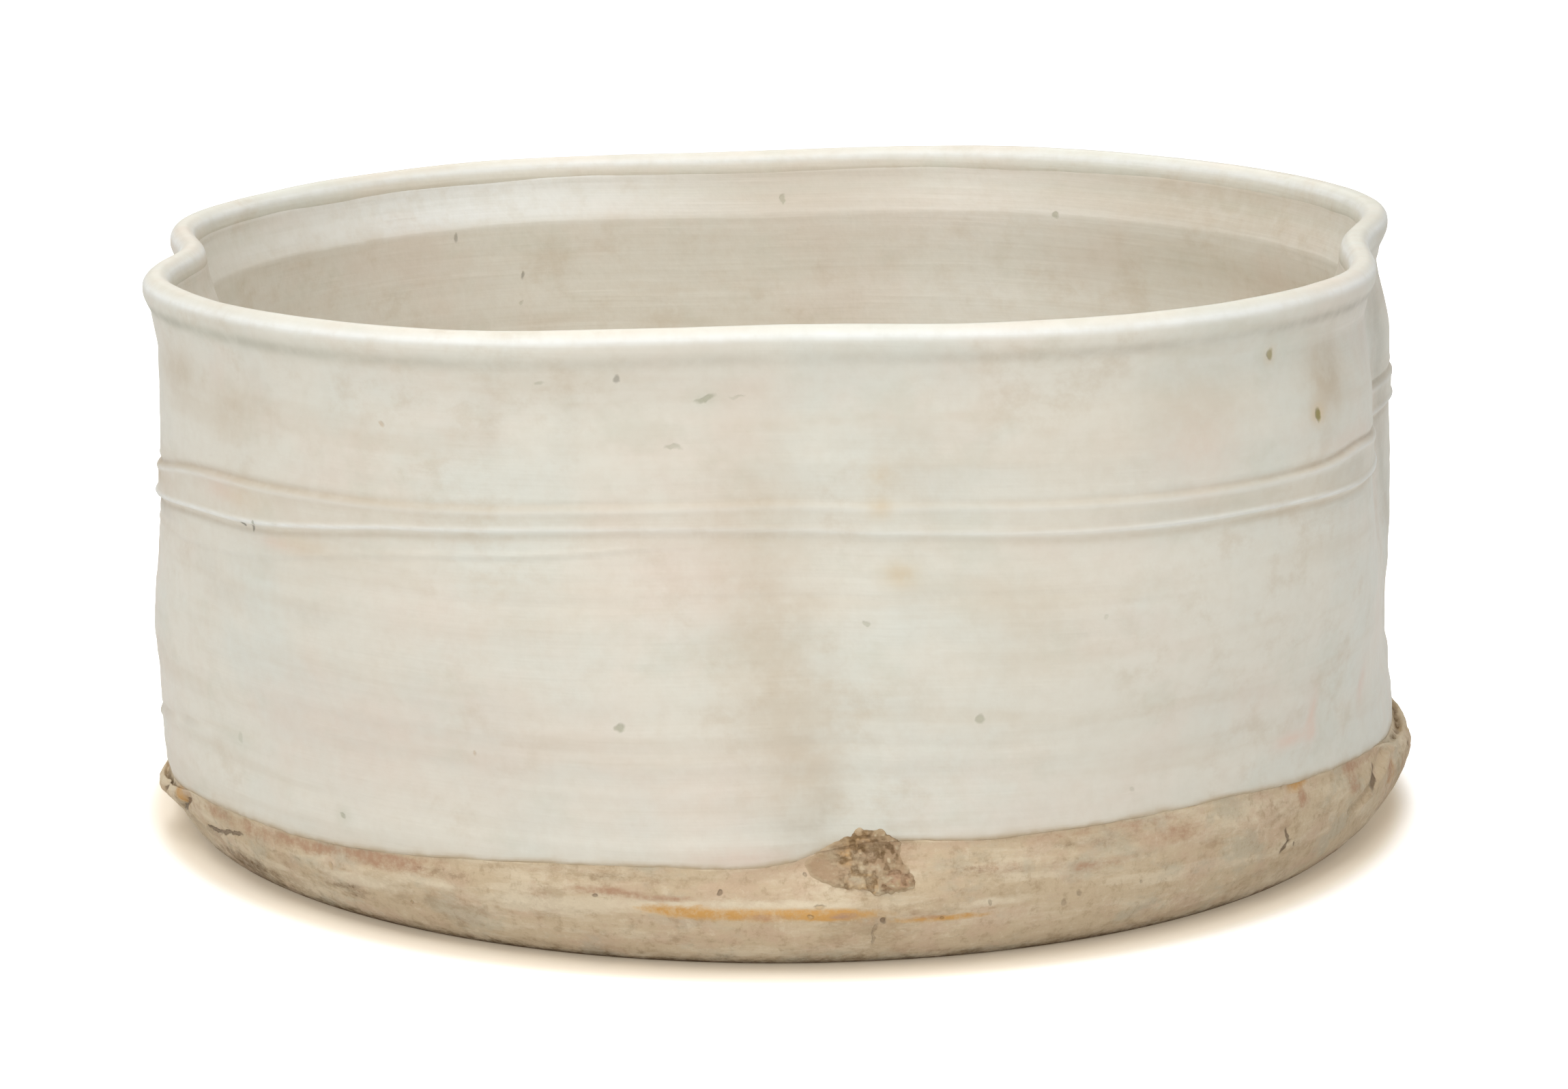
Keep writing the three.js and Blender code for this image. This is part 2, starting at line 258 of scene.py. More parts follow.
@dataclass(frozen=True)
class Pot:
    """The bowl's form, the same as its solids', in millimetres and degrees."""

    rim_height: float = 136.7
    rim_radius_open: float = 155.4
    rim_oval: float = 1.6
    rim_shift: float = -0.6
    rim_tilt: float = 0.019
    roll_radius: float = 3.3
    tucks: tuple[Tuck, ...] = (
        Tuck(-10, 13.7, 17.1, 0.08, 16, 16),
        Tuck(95, 15.2, 15.2, 0.4, 19.5, 15, dent=0.5),
        Tuck(183, 12.6, 12.6, 0.45, 12, 12),
        Tuck(270, 20.3, 20.3, 0.3, 22.5, 9, turn=6, dent=1),
    )
    tuck_fade: tuple[float, float] = (17, 105)
    foot_wall_radius: float = 153.3
    wall_spread: tuple[float, float] = (39, 80)
    wall_lean: float = 2.5
    lobe: tuple[float, float, float] = (28, 25, 1.7)
    belly: tuple[float, float, float] = (57, 14, 1.05)
    bend_drop: float = 4.0
    bend_height: float = 24.7
    floor_thickness: float = 9.0
    edge_radius: float = 154.2
    edge_curl: float = 11.2
    edge_height: float = 20.0
    edge_fullness: float = 1.25
    dent_rise: float = 15.0
    right_ear: tuple[float, float, float] = (-3, 14, 3.2)
    left_ear: tuple[float, float, float] = (190, 22, -2.2)

    def open_radius(self, angle: Array) -> Array:
        """Radius of the rim as it was before the tucks were pressed."""
        turn = np.radians(angle)
        return self.rim_radius_open - self.rim_oval * np.cos(2 * turn) + self.rim_shift * np.cos(turn)

    def rim_radius(self, angle: Array) -> Array:
        """Radius of the rim's roll, at its centre."""
        pressed = sum(tuck.rim * bump(angle, tuck.angle, tuck.width) for tuck in self.tucks)
        return self.open_radius(angle) - pressed

    def beside_rim(self, around: Array, knots: Knots, uneven: float | Array = 1.0) -> Array:
        """A section's points from (out, up) knots, in radii of the rim's roll from its centre."""
        out, up = np.array(knots).T
        radius = self.rim_radius(around) + self.roll_radius * out * uneven
        return pairs(radius, self.rim_height + self.roll_radius * up * uneven)

    def tuck_depth(self, tuck: Tuck, angle: Array, height: Array) -> Array:
        """How deep one tuck presses the wall in: less, narrower and turned towards the foot."""
        fade = smooth_step(height, *self.tuck_fade)
        crease = tuck.angle + tuck.turn * (1 - height / self.rim_height)
        width = tuck.foot_width + (tuck.width - tuck.foot_width) * fade
        share = tuck.foot + (1 - tuck.foot) * fade
        return tuck.wall * share * bump(angle, crease, width)

    def wall_radius(self, angle: Array, height: Array) -> Array:
        """Radius of the glazed outside, below the lip, without its fine relief."""
        centre, width, reach = self.lobe
        lean = self.wall_lean * (1 + np.cos(np.radians(angle)))
        body = self.open_radius(angle) + lean + reach * bump(angle, centre, width)
        spread = smooth_step(height, *self.wall_spread)
        middle, tall, swell = self.belly
        belly = swell * bell(height, middle, tall)
        tucked = sum(self.tuck_depth(tuck, angle, height) for tuck in self.tucks)
        wall = self.foot_wall_radius + (body - self.foot_wall_radius) * spread + belly - tucked
        bend_end = self.rim_height - self.bend_drop
        bend = smooth_step(height, bend_end - self.bend_height, bend_end)
        return wall + (self.rim_radius(angle) - wall) * bend

    def edge_outline(self, angle: Array, height: Array, line: Array) -> Array:
        """Outer radius of the base's curled edge, given the height of the glaze line."""
        ears = sum(reach * bump(angle, *place) for *place, reach in (self.right_ear, self.left_ear))
        dents = sum(tuck.dent * self.tuck_depth(tuck, angle, line) for tuck in self.tucks)
        rise = np.clip((height - line + self.dent_rise) / self.dent_rise, 0, 1)
        reach = self.edge_radius + ears - dents * rise * rise * (3 - 2 * rise)
        curl = np.sqrt(1 - (1 - np.clip(height / self.edge_height, 0, 1)) ** 2) ** self.edge_fullness
        foot = self.edge_radius - self.edge_curl
        return foot + (reach - foot) * curl

    def place(self, angle: Array, section: Array) -> Array:
        """Puts a section, [angle, point, (radius, height)], in place: [angle, point, xyz] in metres."""
        turn = np.radians(angle)[:, None]
        radius, height = section[..., 0], section[..., 1]
        x, y = radius * np.cos(turn), radius * np.sin(turn)
        z = height * (1 + self.rim_tilt * x / self.rim_height)
        (left, front, _), (right, back, top) = CAD_BOX
        held = (held_in(x * MM, left, right), held_in(y * MM, front, back), held_in(z * MM, NO_FLOOR, top))
        return np.stack(held, axis=-1)

    def place_freely(self, points: Array) -> Array:
        """Puts points that each have their own (angle, radius, height) in place, in metres."""
        flat = points.reshape(-1, 3)
        placed = self.place(flat[:, 0], flat[:, None, 1:])
        return placed.reshape(points.shape)


POT = Pot()


@dataclass(frozen=True)
class Stain:
    """A soft stain: its tint, where it is, how far it reaches, and how strong it is.

    The angle and height are those of its middle. Across and tall are its half sizes, in
    millimetres.
    """

    tint: Tint
    angle: float
    height: float
    across: float
    tall: float
    strength: float


def stains_of(tint: Tint, *rows: tuple[float, float, float, float, float]) -> tuple[Stain, ...]:
    """Stains of one tint. A row is a stain's angle, height, across, tall and strength."""
    return tuple(Stain(tint, *row) for row in rows)


@dataclass(frozen=True)
class Ridge:
    """A line that runs round the wall.

    Its height and its strength are knots round the pot. Its section is a sum of bell curves, each
    with its height, its middle above the line and its width in millimetres.
    """

    heights: Knots
    strengths: Knots
    section: tuple[tuple[float, float, float], ...]

    def above(self, angle: Array, height: Array) -> Array:
        """How far a height lies above the line, in millimetres."""
        return height - round_pot(angle, self.heights)

    def strength(self, angle: Array) -> Array:
        """The line's strength, from 0 up."""
        return np.clip(round_pot(angle, self.strengths), 0.0, None)

    def relief(self, angle: Array, height: Array) -> Array:
        """How far the line stands out of the wall, in millimetres."""
        above = self.above(angle, height)
        return self.strength(angle) * sum(high * bell(above, *place) for high, *place in self.section)


@dataclass(frozen=True)
class Crack:
    """A crack or slot: the (degrees, height) points of its line, its width and depth in millimetres."""

    points: tuple[tuple[float, float], ...]
    width: float
    depth: float

    def at(self, angle: Array, height: Array) -> Array:
        """How strongly each place lies in the crack: 1 on its line, falling as a bell curve beside it.

        Distances are measured on the unrolled surface, to the nearest point of each stretch.
        """
        arc = math.radians(POT.edge_radius)
        nearest = np.full(np.broadcast(angle, height).shape, np.inf)
        for (start, low), (end, high) in zip(self.points, self.points[1:]):
            reach = np.array([(end - start) * arc, high - low])
            across, up = away_from(angle, start) * arc, height - low
            share = np.clip((across * reach[0] + up * reach[1]) / (reach @ reach), 0.0, 1.0)
            distance = np.hypot(across - share * reach[0], up - share * reach[1])
            nearest = np.minimum(nearest, distance)
        return bell(nearest, 0.0, self.width)


def stained(stains: Iterable[Stain], tint: Tint, angle: Array, height: Array) -> Array:
    """The sum of the bell curves of the stains of one tint."""
    arc = math.radians(POT.edge_radius)
    total = np.zeros(np.broadcast(angle, height).shape)
    for stain in stains:
        if stain.tint is tint:
            beside = bell(away_from(angle, stain.angle) * arc, 0.0, stain.across)
            total += stain.strength * beside * bell(height, stain.height, stain.tall)
    return total


def add_object(name: str, data: bpy.types.ID) -> bpy.types.Object:
    """Makes an object of its data and puts it in the scene."""
    piece = bpy.data.objects.new(name, data)
    bpy.context.scene.collection.objects.link(piece)
    return piece


@dataclass
class Shell:
    """A surface carried round the pot or round a middle, ready to be made a mesh.

    The points are [step, point, xyz] in metres, and the surface closes after the last step. Each
    section is a closed ring or, with ends, runs from one pole to the other.
    """

    name: str
    points: Array
    ends: bool
    tints: dict[Tint, Array] = field(default_factory=dict)

    def faces(self) -> list[tuple[int, ...]]:
        """Squares between neighbouring sections, and triangles round each pole."""
        steps, count = self.points.shape[:2]
        index = np.arange(steps * count).reshape(steps, count)
        after = np.roll(index, -1, axis=0)
        if not self.ends:
            nearer, further = np.roll(index, -1, axis=1), np.roll(after, -1, axis=1)
            return np.stack([index, after, further, nearer], axis=-1).reshape(-1, 4).tolist()
        squares = np.stack([index[:, 1:-2], after[:, 1:-2], after[:, 2:-1], index[:, 2:-1]], axis=-1)
        first = np.broadcast_to(index[0, 0], steps)
        last = np.broadcast_to(index[0, -1], steps)
        start = np.stack([first, after[:, 1], index[:, 1]], axis=-1)
        finish = np.stack([last, index[:, -2], after[:, -2]], axis=-1)
        return squares.reshape(-1, 4).tolist() + start.tolist() + finish.tolist()

    def make(self) -> bpy.types.Object:
        """Makes the object: a smooth closed mesh with its stains as attributes.

        Returns:
            The object, at the origin, with its faces pointing outwards.
        """
        mesh = bpy.data.meshes.new(self.name)
        mesh.from_pydata(self.points.reshape(-1, 3).tolist(), [], self.faces())
        for tint, values in self.tints.items():
            layer = mesh.attributes.new(tint.value, "FLOAT", "POINT")
            spread = np.broadcast_to(values, self.points.shape[:2])
            layer.data.foreach_set("value", np.clip(spread, 0, 1).astype(np.float32).ravel())
        work = bmesh.new()
        work.from_mesh(mesh)
        bmesh.ops.delete(work, geom=[vert for vert in work.verts if not vert.link_faces], context="VERTS")
        if work.calc_volume(signed=True) < 0:
            bmesh.ops.reverse_faces(work, faces=work.faces)
        work.to_mesh(mesh)
        work.free()
        mesh.polygons.foreach_set("use_smooth", np.ones(len(mesh.polygons), dtype=bool))
        return add_object(self.name, mesh)


def wire_operator(operation: str, flipped: bool = False) -> "Callable[[Wire, Number], Wire]":
    """Makes an operator of Wire, which adds one Math node. Flipped, its other number comes first."""

    def apply(wire: "Wire", other: "Number") -> "Wire":
        """Adds the Math node."""
        first, second = (other, wire) if flipped else (wire, other)
        return wire.graph.wire("ShaderNodeMath", {"operation": operation}, {0: first, 1: second})

    return apply


class Wire:
    """A number that varies over a surface. It wraps a node's socket, and sums on it add Math nodes."""

    def __init__(self, graph: "Graph", socket: bpy.types.NodeSocket) -> None:
        """Keeps the graph and the socket."""
        self.graph = graph
        self.socket = socket

    __add__, __radd__ = wire_operator("ADD"), wire_operator("ADD", flipped=True)
    __sub__, __rsub__ = wire_operator("SUBTRACT"), wire_operator("SUBTRACT", flipped=True)
    __mul__, __rmul__ = wire_operator("MULTIPLY"), wire_operator("MULTIPLY", flipped=True)
    most = wire_operator("MAXIMUM")

    def climb(self, start: float, end: float) -> "Wire":
        """A smooth climb from 0 to 1 as this number goes from start to end, which may be the lower."""
        settings = {"interpolation_type": "SMOOTHSTEP", "clamp": True}
        places = {"Value": self, "From Min": start, "From Max": end, "To Min": 0.0, "To Max": 1.0}
        if start > end:
            places |= {"From Min": end, "From Max": start, "To Min": 1.0, "To Max": 0.0}
        return self.graph.wire("ShaderNodeMapRange", settings, places)


Number = Wire | float


class Graph:
    """The nodes of one material or world, empty at first."""

    def __init__(self, owner: bpy.types.Material | bpy.types.World) -> None:
        """Empties the owner's nodes."""
        self.owner = owner
        owner.use_nodes = True
        self.tree = owner.node_tree
        self.tree.nodes.clear()

    def node(
        self, kind: str, settings: dict[str, Any] | None = None, inputs: dict[str | int, Any] | None = None
    ) -> bpy.types.Node:
        """Adds a node of any kind.

        Args:
            kind: the node's type.
            settings: its properties, which are set before its sockets.
            inputs: a value or a Wire for each socket, by name or by number.

        Returns:
            The new node.
        """
        node = self.tree.nodes.new(kind)
        for name, value in (settings or {}).items():
            setattr(node, name, value)
        for place, value in (inputs or {}).items():
            if isinstance(value, Wire):
                self.tree.links.new(value.socket, node.inputs[place])
            else:
                node.inputs[place].default_value = value
        return node

    def wire(
        self,
        kind: str,
        settings: dict[str, Any] | None = None,
        inputs: dict[str | int, Any] | None = None,
        output: str | int = 0,
    ) -> Wire:
        """Adds a node of any kind and gives one of its outputs."""
        return Wire(self, self.node(kind, settings, inputs).outputs[output])

    def place(self) -> Wire:
        """The point on the piece, in metres."""
        return self.wire("ShaderNodeTexCoord", output="Object")

    def vector(self, operation: str, inputs: dict[str | int, Any]) -> Wire:
        """Adds one Vector Math node. LENGTH gives a number, and the others a vector."""
        output = "Value" if operation == "LENGTH" else "Vector"
        return self.wire("ShaderNodeVectorMath", {"operation": operation}, inputs, output)

    def noise(
        self, size: float, detail: float = 3.0, rough: float = 0.5, flat: float = 1.0, turn: float = 0.0
    ) -> Wire:
        """Smooth noise from 0 to 1.

        Args:
            size: the size of its lumps in metres.
            detail: how many finer layers it has.
            rough: how strong the finer layers are.
            flat: how many times wider than tall its lumps are.
            turn: shifts the pattern, so that two noises of one size differ.

        Returns:
            The noise.
        """
        scales = (1.0, 1.0, flat)
        inputs = {"Vector": self.place(), "Location": (turn, turn, turn), "Scale": scales}
        place = self.wire("ShaderNodeMapping", {"vector_type": "POINT"}, inputs)
        inputs = {"Vector": place, "Scale": 1.0 / size, "Detail": detail, "Roughness": rough}
        return self.wire("ShaderNodeTexNoise", {"noise_dimensions": "3D"}, inputs)

    def shaken(self, size: float, reach: float) -> Wire:
        """The point on the piece, moved about at random by up to a reach, both in metres."""
        inputs = {"Vector": self.place(), "Scale": 1.0 / size, "Detail": 2.0}
        colours = self.wire("ShaderNodeTexNoise", {"noise_dimensions": "3D"}, inputs, "Color")
        centred = self.vector("SUBTRACT", {0: colours, 1: (0.5,) * 3})
        moved = self.vector("SCALE", {0: centred, "Scale": 2.0 * reach})
        return self.vector("ADD", {0: self.place(), 1: moved})

    def stain(self, tint: Tint) -> Wire:
        """The strength of one tint, from the piece's own attribute."""
        settings = {"attribute_type": "GEOMETRY", "attribute_name": tint.value}
        return self.wire("ShaderNodeAttribute", settings, output="Fac")

    def clouded(self, colour: Wire | Colour, clouds: "Iterable[Cloud]") -> Wire:
        """Lays clouds over a colour, one after another."""
        for cloud in clouds:
            mask = self.noise(*cloud.noise).climb(*cloud.climb)
            if cloud.where:
                mask = mask * self.noise(*cloud.where.noise).climb(*cloud.where.climb)
            colour = self.blend(mask * cloud.strength, colour, cloud.colour)
        return colour

    def marked(self, colour: Wire, marks: "Iterable[Mark]") -> tuple[Wire, Number]:
        """Lays marks over a colour.

        Args:
            colour: what lies under them.
            marks: the pits, dashes and cracks.

        Returns:
            The colour with the marks, and how deep in a mark each place is, from 0 to 1.
        """
        depth: Number = 0.0
        place = self.shaken(*MARK_WAVES)
        for mark in marks:
            mask = mark.mask(self, place)
            colour = self.blend(mask, colour, mark.colour)
            depth = mask.most(depth)
        return colour, depth

    def blend(self, factor: Number, first: Wire | Colour, second: Wire | Colour) -> Wire:
        """Mixes two colours by a factor."""
        colours = [value if isinstance(value, Wire) else (*value, 1.0) for value in (first, second)]
        settings = {"data_type": "RGBA", "blend_type": "MIX", "clamp_factor": True}
        inputs = {"Factor": factor, 6: colours[0], 7: colours[1]}
        return self.wire("ShaderNodeMix", settings, inputs, 2)

    def bumps(self, height: Wire, distance: float) -> Wire:
        """A surface normal from a height, with the depth of a height of 1 in metres."""
        return self.wire("ShaderNodeBump", None, {"Strength": 1.0, "Distance": distance, "Height": height})

    def surface(
        self, colour: Wire, roughness: Wire, normal: Wire, fixed: dict[str, float]
    ) -> bpy.types.Material:
        """Ends the material in one Principled shader.

        Args:
            colour: what varies over the surface.
            roughness: what varies over the surface.
            normal: the bumped normal.
            fixed: the shader's other values, the same all over.

        Returns:
            The finished material.
        """
        inputs = {"Base Color": colour, "Roughness": roughness, "Normal": normal, **fixed}
        shader = self.wire("ShaderNodeBsdfPrincipled", None, inputs)
        self.node("ShaderNodeOutputMaterial", None, {"Surface": shader})
        return self.owner


@dataclass(frozen=True)
class Patch:
    """Where noise lets a colour through: the noise's arguments, and where it climbs from 0 to 1."""

    noise: tuple[float, ...]
    climb: tuple[float, float]


@dataclass(frozen=True)
class Cloud(Patch):
    """A layer of one colour, of some strength, that shows in patches.

    With a second patch, it shows only where both let it through.
    """

    colour: Colour
    strength: float
    where: Patch | None = None


class Side(Enum):
    """Which surface a mark lies on."""

    OUTSIDE = "outside"
    INSIDE = "inside"
    BASE = "base"


@dataclass(frozen=True)
class Mark:
    """A small pit, dash or crack, in degrees, millimetres and a linear colour.

    Along and across are its half sizes. It lies level and rises to the right by its tilt.
    """

    angle: float
    height: float
    along: float
    across: float
    tilt: float
    colour: Colour
    strength: float
    side: Side

    def point(self) -> Point:
        """The mark's middle in metres, on the surface that it lies on."""
        angle, height = np.array([self.angle]), np.array([[self.height]])
        radius = POT.wall_radius(angle[:, None], height)
        if self.side is Side.INSIDE:
            radius = radius - WALL.thickness(height)
        if self.side is Side.BASE:
            line = GLAZE_LINE.height(angle)[:, None]
            radius = POT.edge_outline(angle[:, None], height, line)
        point = POT.place(angle, pairs(radius, height))[0, 0]
        return tuple(float(value) for value in point)

    def mask(self, graph: Graph, place: Wire) -> Wire:
        """1 in the mark, falling to 0 over a soft edge.

        The place is turned and scaled so that the mark becomes a ball of radius 1.
        """
        turned = (0.0, -math.radians(self.tilt), math.radians(self.angle - 270.0))
        sizes = (self.along * MM, MARK_DEPTH, self.across * MM)
        inputs = {"Vector": place, "Location": self.point(), "Rotation": turned, "Scale": sizes}
        local = graph.wire("ShaderNodeMapping", {"vector_type": "TEXTURE"}, inputs)
        return graph.vector("LENGTH", {0: local}).climb(*MARK_EDGE) * self.strength


def marks_on(side: Side, *rows: tuple[float | Colour, ...]) -> tuple[Mark, ...]:
    """Marks on one side. A row is a mark's angle, height, along, across, tilt, colour and strength."""
    return tuple(Mark(*row, side) for row in rows)


def crack(points: Knots, width: float, colour: Colour, strength: float) -> tuple[Mark, ...]:
    """A crack in the base, as one thin mark for each stretch between its (degrees, height) points."""
    arc = math.radians(POT.edge_radius)
    marks = []
    for (start, low), (end, high) in zip(points, points[1:]):
        across, up = (end - start) * arc, high - low
        middle, level = (start + end) / 2, (low + high) / 2
        along = math.hypot(across, up) / 2 + 0.4
        tilt = math.degrees(math.atan2(up, across))
        marks.append(Mark(middle, level, along, width, tilt, colour, strength, Side.BASE))
    return tuple(marks)


PIT = (0.2, 0.18, 0.14)
OLIVE = (0.33, 0.33, 0.22)
MUSTARD = (0.26, 0.22, 0.07)
RUST = (0.46, 0.32, 0.17)
HOLE = (0.17, 0.115, 0.07)


@dataclass(frozen=True)
class GlazeFinish:
    """The milky satin glaze: warm white, with soft tan, pink and green clouds and a few pits.

    A field with a tint's name is the colour of that tint: of its stains and, for pale, tan, moss and shade,
    also of painted highlights and painted shade.
    """

    name: str
    colour: Colour = (0.72, 0.685, 0.59)
    cool: Colour = (0.67, 0.675, 0.6)
    # pale colours only painted highlights and painted light; tan, moss and shade colour real stains and
    # also painted shade.
    pale: Colour = (0.84, 0.85, 0.82)
    blush: Colour = (0.71, 0.565, 0.465)
    tan: Colour = (0.56, 0.465, 0.34)
    moss: Colour = (0.54, 0.54, 0.43)
    shade: Colour = (0.4, 0.365, 0.29)
    ochre: Colour = (0.62, 0.45, 0.24)
    clay: Colour = (0.5, 0.4, 0.27)
    smudged: Patch = Patch((0.055, 2.0, 0.5, 1.0, 9.1), (0.42, 0.6))
    marks: tuple[Mark, ...] = ()

    def material(self) -> bpy.types.Material:
        """Builds the material.

        Its clouds are noise of several sizes. Each tint of the mesh, stains and painted shade and
        highlights alike, is broken up by finer noise.
        """
        graph = Graph(bpy.data.materials.new(self.name))
        clouds = (
            Cloud((0.05, 3.0, 0.6, 1.2), (0.4, 0.62), self.cool, 0.7),
            Cloud((0.046, 4.0, 0.62, 1.2, 3.1), (0.46, 0.68), self.blush, 0.3),
            Cloud((0.075, 3.0, 0.55, 9.0), (0.5, 0.72), self.tan, 0.24),
            Cloud((0.013, 5.0, 0.7, 1.3, 7.7), (0.47, 0.72), self.tan, 0.42, self.smudged),
            Cloud((0.021, 4.0, 0.65, 1.4, 4.4), (0.52, 0.72), self.moss, 0.24),
            Cloud((0.0034, 3.0, 0.6), (0.32, 0.75), self.tan, 0.13),
        )
        colour = graph.clouded(self.colour, clouds)
        broken = graph.noise(0.0055, 3.0, 0.65).climb(0.3, 0.62)
        for tint in (Tint.TAN, Tint.BLUSH, Tint.MOSS, Tint.SHADE, Tint.OCHRE, Tint.PALE, Tint.CLAY):
            stain = graph.stain(tint) * (0.6 + 0.4 * broken)
            colour = graph.blend(stain, colour, getattr(self, tint.value))
        colour, pits = graph.marked(colour, self.marks)
        skin = graph.noise(0.0016, 2.0, 0.5) * 0.3 + graph.noise(0.007, 2.0, 0.5) - pits * 1.4
        throwing = graph.noise(0.05, 2.0, 0.5, flat=26.0)
        normal = graph.bumps(skin + throwing * 0.9, 0.00017)
        roughness = 0.42 + 0.14 * graph.noise(0.02, 3.0, 0.5) + 0.3 * graph.stain(Tint.CLAY)
        fixed = {"Specular IOR Level": 0.4, "Coat Weight": 0.06, "Coat Roughness": 0.25}
        return graph.surface(colour, roughness, normal, fixed)


@dataclass(frozen=True)
class ClayFinish:
    """Bare toasted clay: soft mottled tan, with pale and pinkish streaks and flashes.

    A field with a tint's name is the colour of that tint: of its stains and, for shade and pale, also of
    painted shade and painted highlights.
    """

    name: str
    colour: Colour = (0.56, 0.44, 0.29)
    # pale colours real streaks and, on the rough dab, painted highlights on the grain's tops.
    pale: Colour = (0.69, 0.59, 0.43)
    rose: Colour = (0.54, 0.385, 0.265)
    ochre: Colour = (0.565, 0.312, 0.098)
    flash: Colour = (0.43, 0.265, 0.165)
    # shade colours real dark patches and also painted shade: at the sole, in the ears' hollows and in the
    # rough dab's grain.
    shade: Colour = (0.15, 0.088, 0.036)
    brown: Colour = (0.33, 0.225, 0.125)
    grey: Colour = (0.47, 0.42, 0.31)
    stains: bool = True
    grit: float = 1.0
    clay: Colour = (0.5, 0.385, 0.25)
    marks: tuple[Mark, ...] = ()

    def material(self) -> bpy.types.Material:
        """Builds the material.

        Streaks are noise stretched along the wall. The grit is fine noise of two sizes.
        """
        graph = Graph(bpy.data.materials.new(self.name))
        clouds = (
            Cloud((0.03, 5.0, 0.66, 5.0), (0.46, 0.62), self.pale, 0.6),
            Cloud((0.016, 5.0, 0.7, 1.5, 2.3), (0.47, 0.64), self.rose, 0.6),
            Cloud((0.019, 4.0, 0.66, 1.8, 8.2), (0.5, 0.66), self.grey, 0.6),
            Cloud((0.02, 6.0, 0.74, 2.6, 5.9), (0.5, 0.68), self.brown, 0.45),
        )
        colour = graph.clouded(self.colour, clouds)
        fine = graph.noise(0.0028, 4.0, 0.72)
        colour = graph.blend(fine.climb(0.5, 0.7) * (0.42 * self.grit), colour, self.brown)
        colour = graph.blend(fine.climb(0.46, 0.28) * (0.42 * self.grit), colour, self.pale)
        grit = graph.noise(0.001, 2.0, 0.6)
        if self.stains:
            ragged = (graph.noise(0.005, 5.0, 0.78, flat=2.2, turn=1.7) - 0.5) * 1.5
            speckled = 0.5 + 0.5 * fine.climb(0.32, 0.62)
            for tint in (Tint.PALE, Tint.OCHRE, Tint.FLASH, Tint.CLAY, Tint.SHADE):
                edged = (graph.stain(tint) + ragged).climb(0.06, 0.78) * graph.stain(tint).climb(0.0, 0.3)
                colour = graph.blend(edged * speckled, colour, getattr(self, tint.value))
        colour, pits = graph.marked(colour, self.marks)
        height = grit * 0.4 + fine * 0.8 - pits * 1.6
        normal = graph.bumps(height, 0.0003 * self.grit)
        roughness = 0.7 + 0.2 * fine
        return graph.surface(colour, roughness, normal, {"Specular IOR Level": 0.25})


@dataclass(frozen=True)
class Wall:
    """How thick the fired wall is, glaze and all, in millimetres."""

    foot: float = 10.4
    rim: float = 7.0

    def thickness(self, height: Array) -> Array:
        """The thickness at a height: it falls evenly from the floor to the rim."""
        share = (height - POT.floor_thickness) / (POT.rim_height - POT.floor_thickness)
        return self.foot + (self.rim - self.foot) * np.clip(share, 0.0, 1.0)


WALL = Wall()


@dataclass(frozen=True)
class GlazeLine:
    """Where the glaze stops over the bare foot, in degrees and millimetres."""

    knots: Knots = (
        (0, 21), (8, 21.6), (20, 21), (60, 18.5), (100, 15), (150, 14.2), (180, 14.6), (200, 16.3),
        (213, 18.5), (226, 19), (238, 20.8), (251, 23.5), (261, 24.1), (267, 23.6), (271, 24),
        (274.3, 26.4), (278, 28.6), (284, 28.7), (297, 29.1), (311, 29.2), (320, 27.6), (330, 26.4),
        (338, 24.7), (345, 22.6), (352, 21.2),
    )
    wobble: float = 0.2

    def height(self, angle: Array) -> Array:
        """The line's height: a smooth curve through the knots with a small random wobble."""
        ragged = level_relief(11, 18.0, angle) + 0.5 * level_relief(12, 4.0, angle)
        return round_pot(angle, self.knots) + self.wobble * ragged


GLAZE_LINE = GlazeLine()


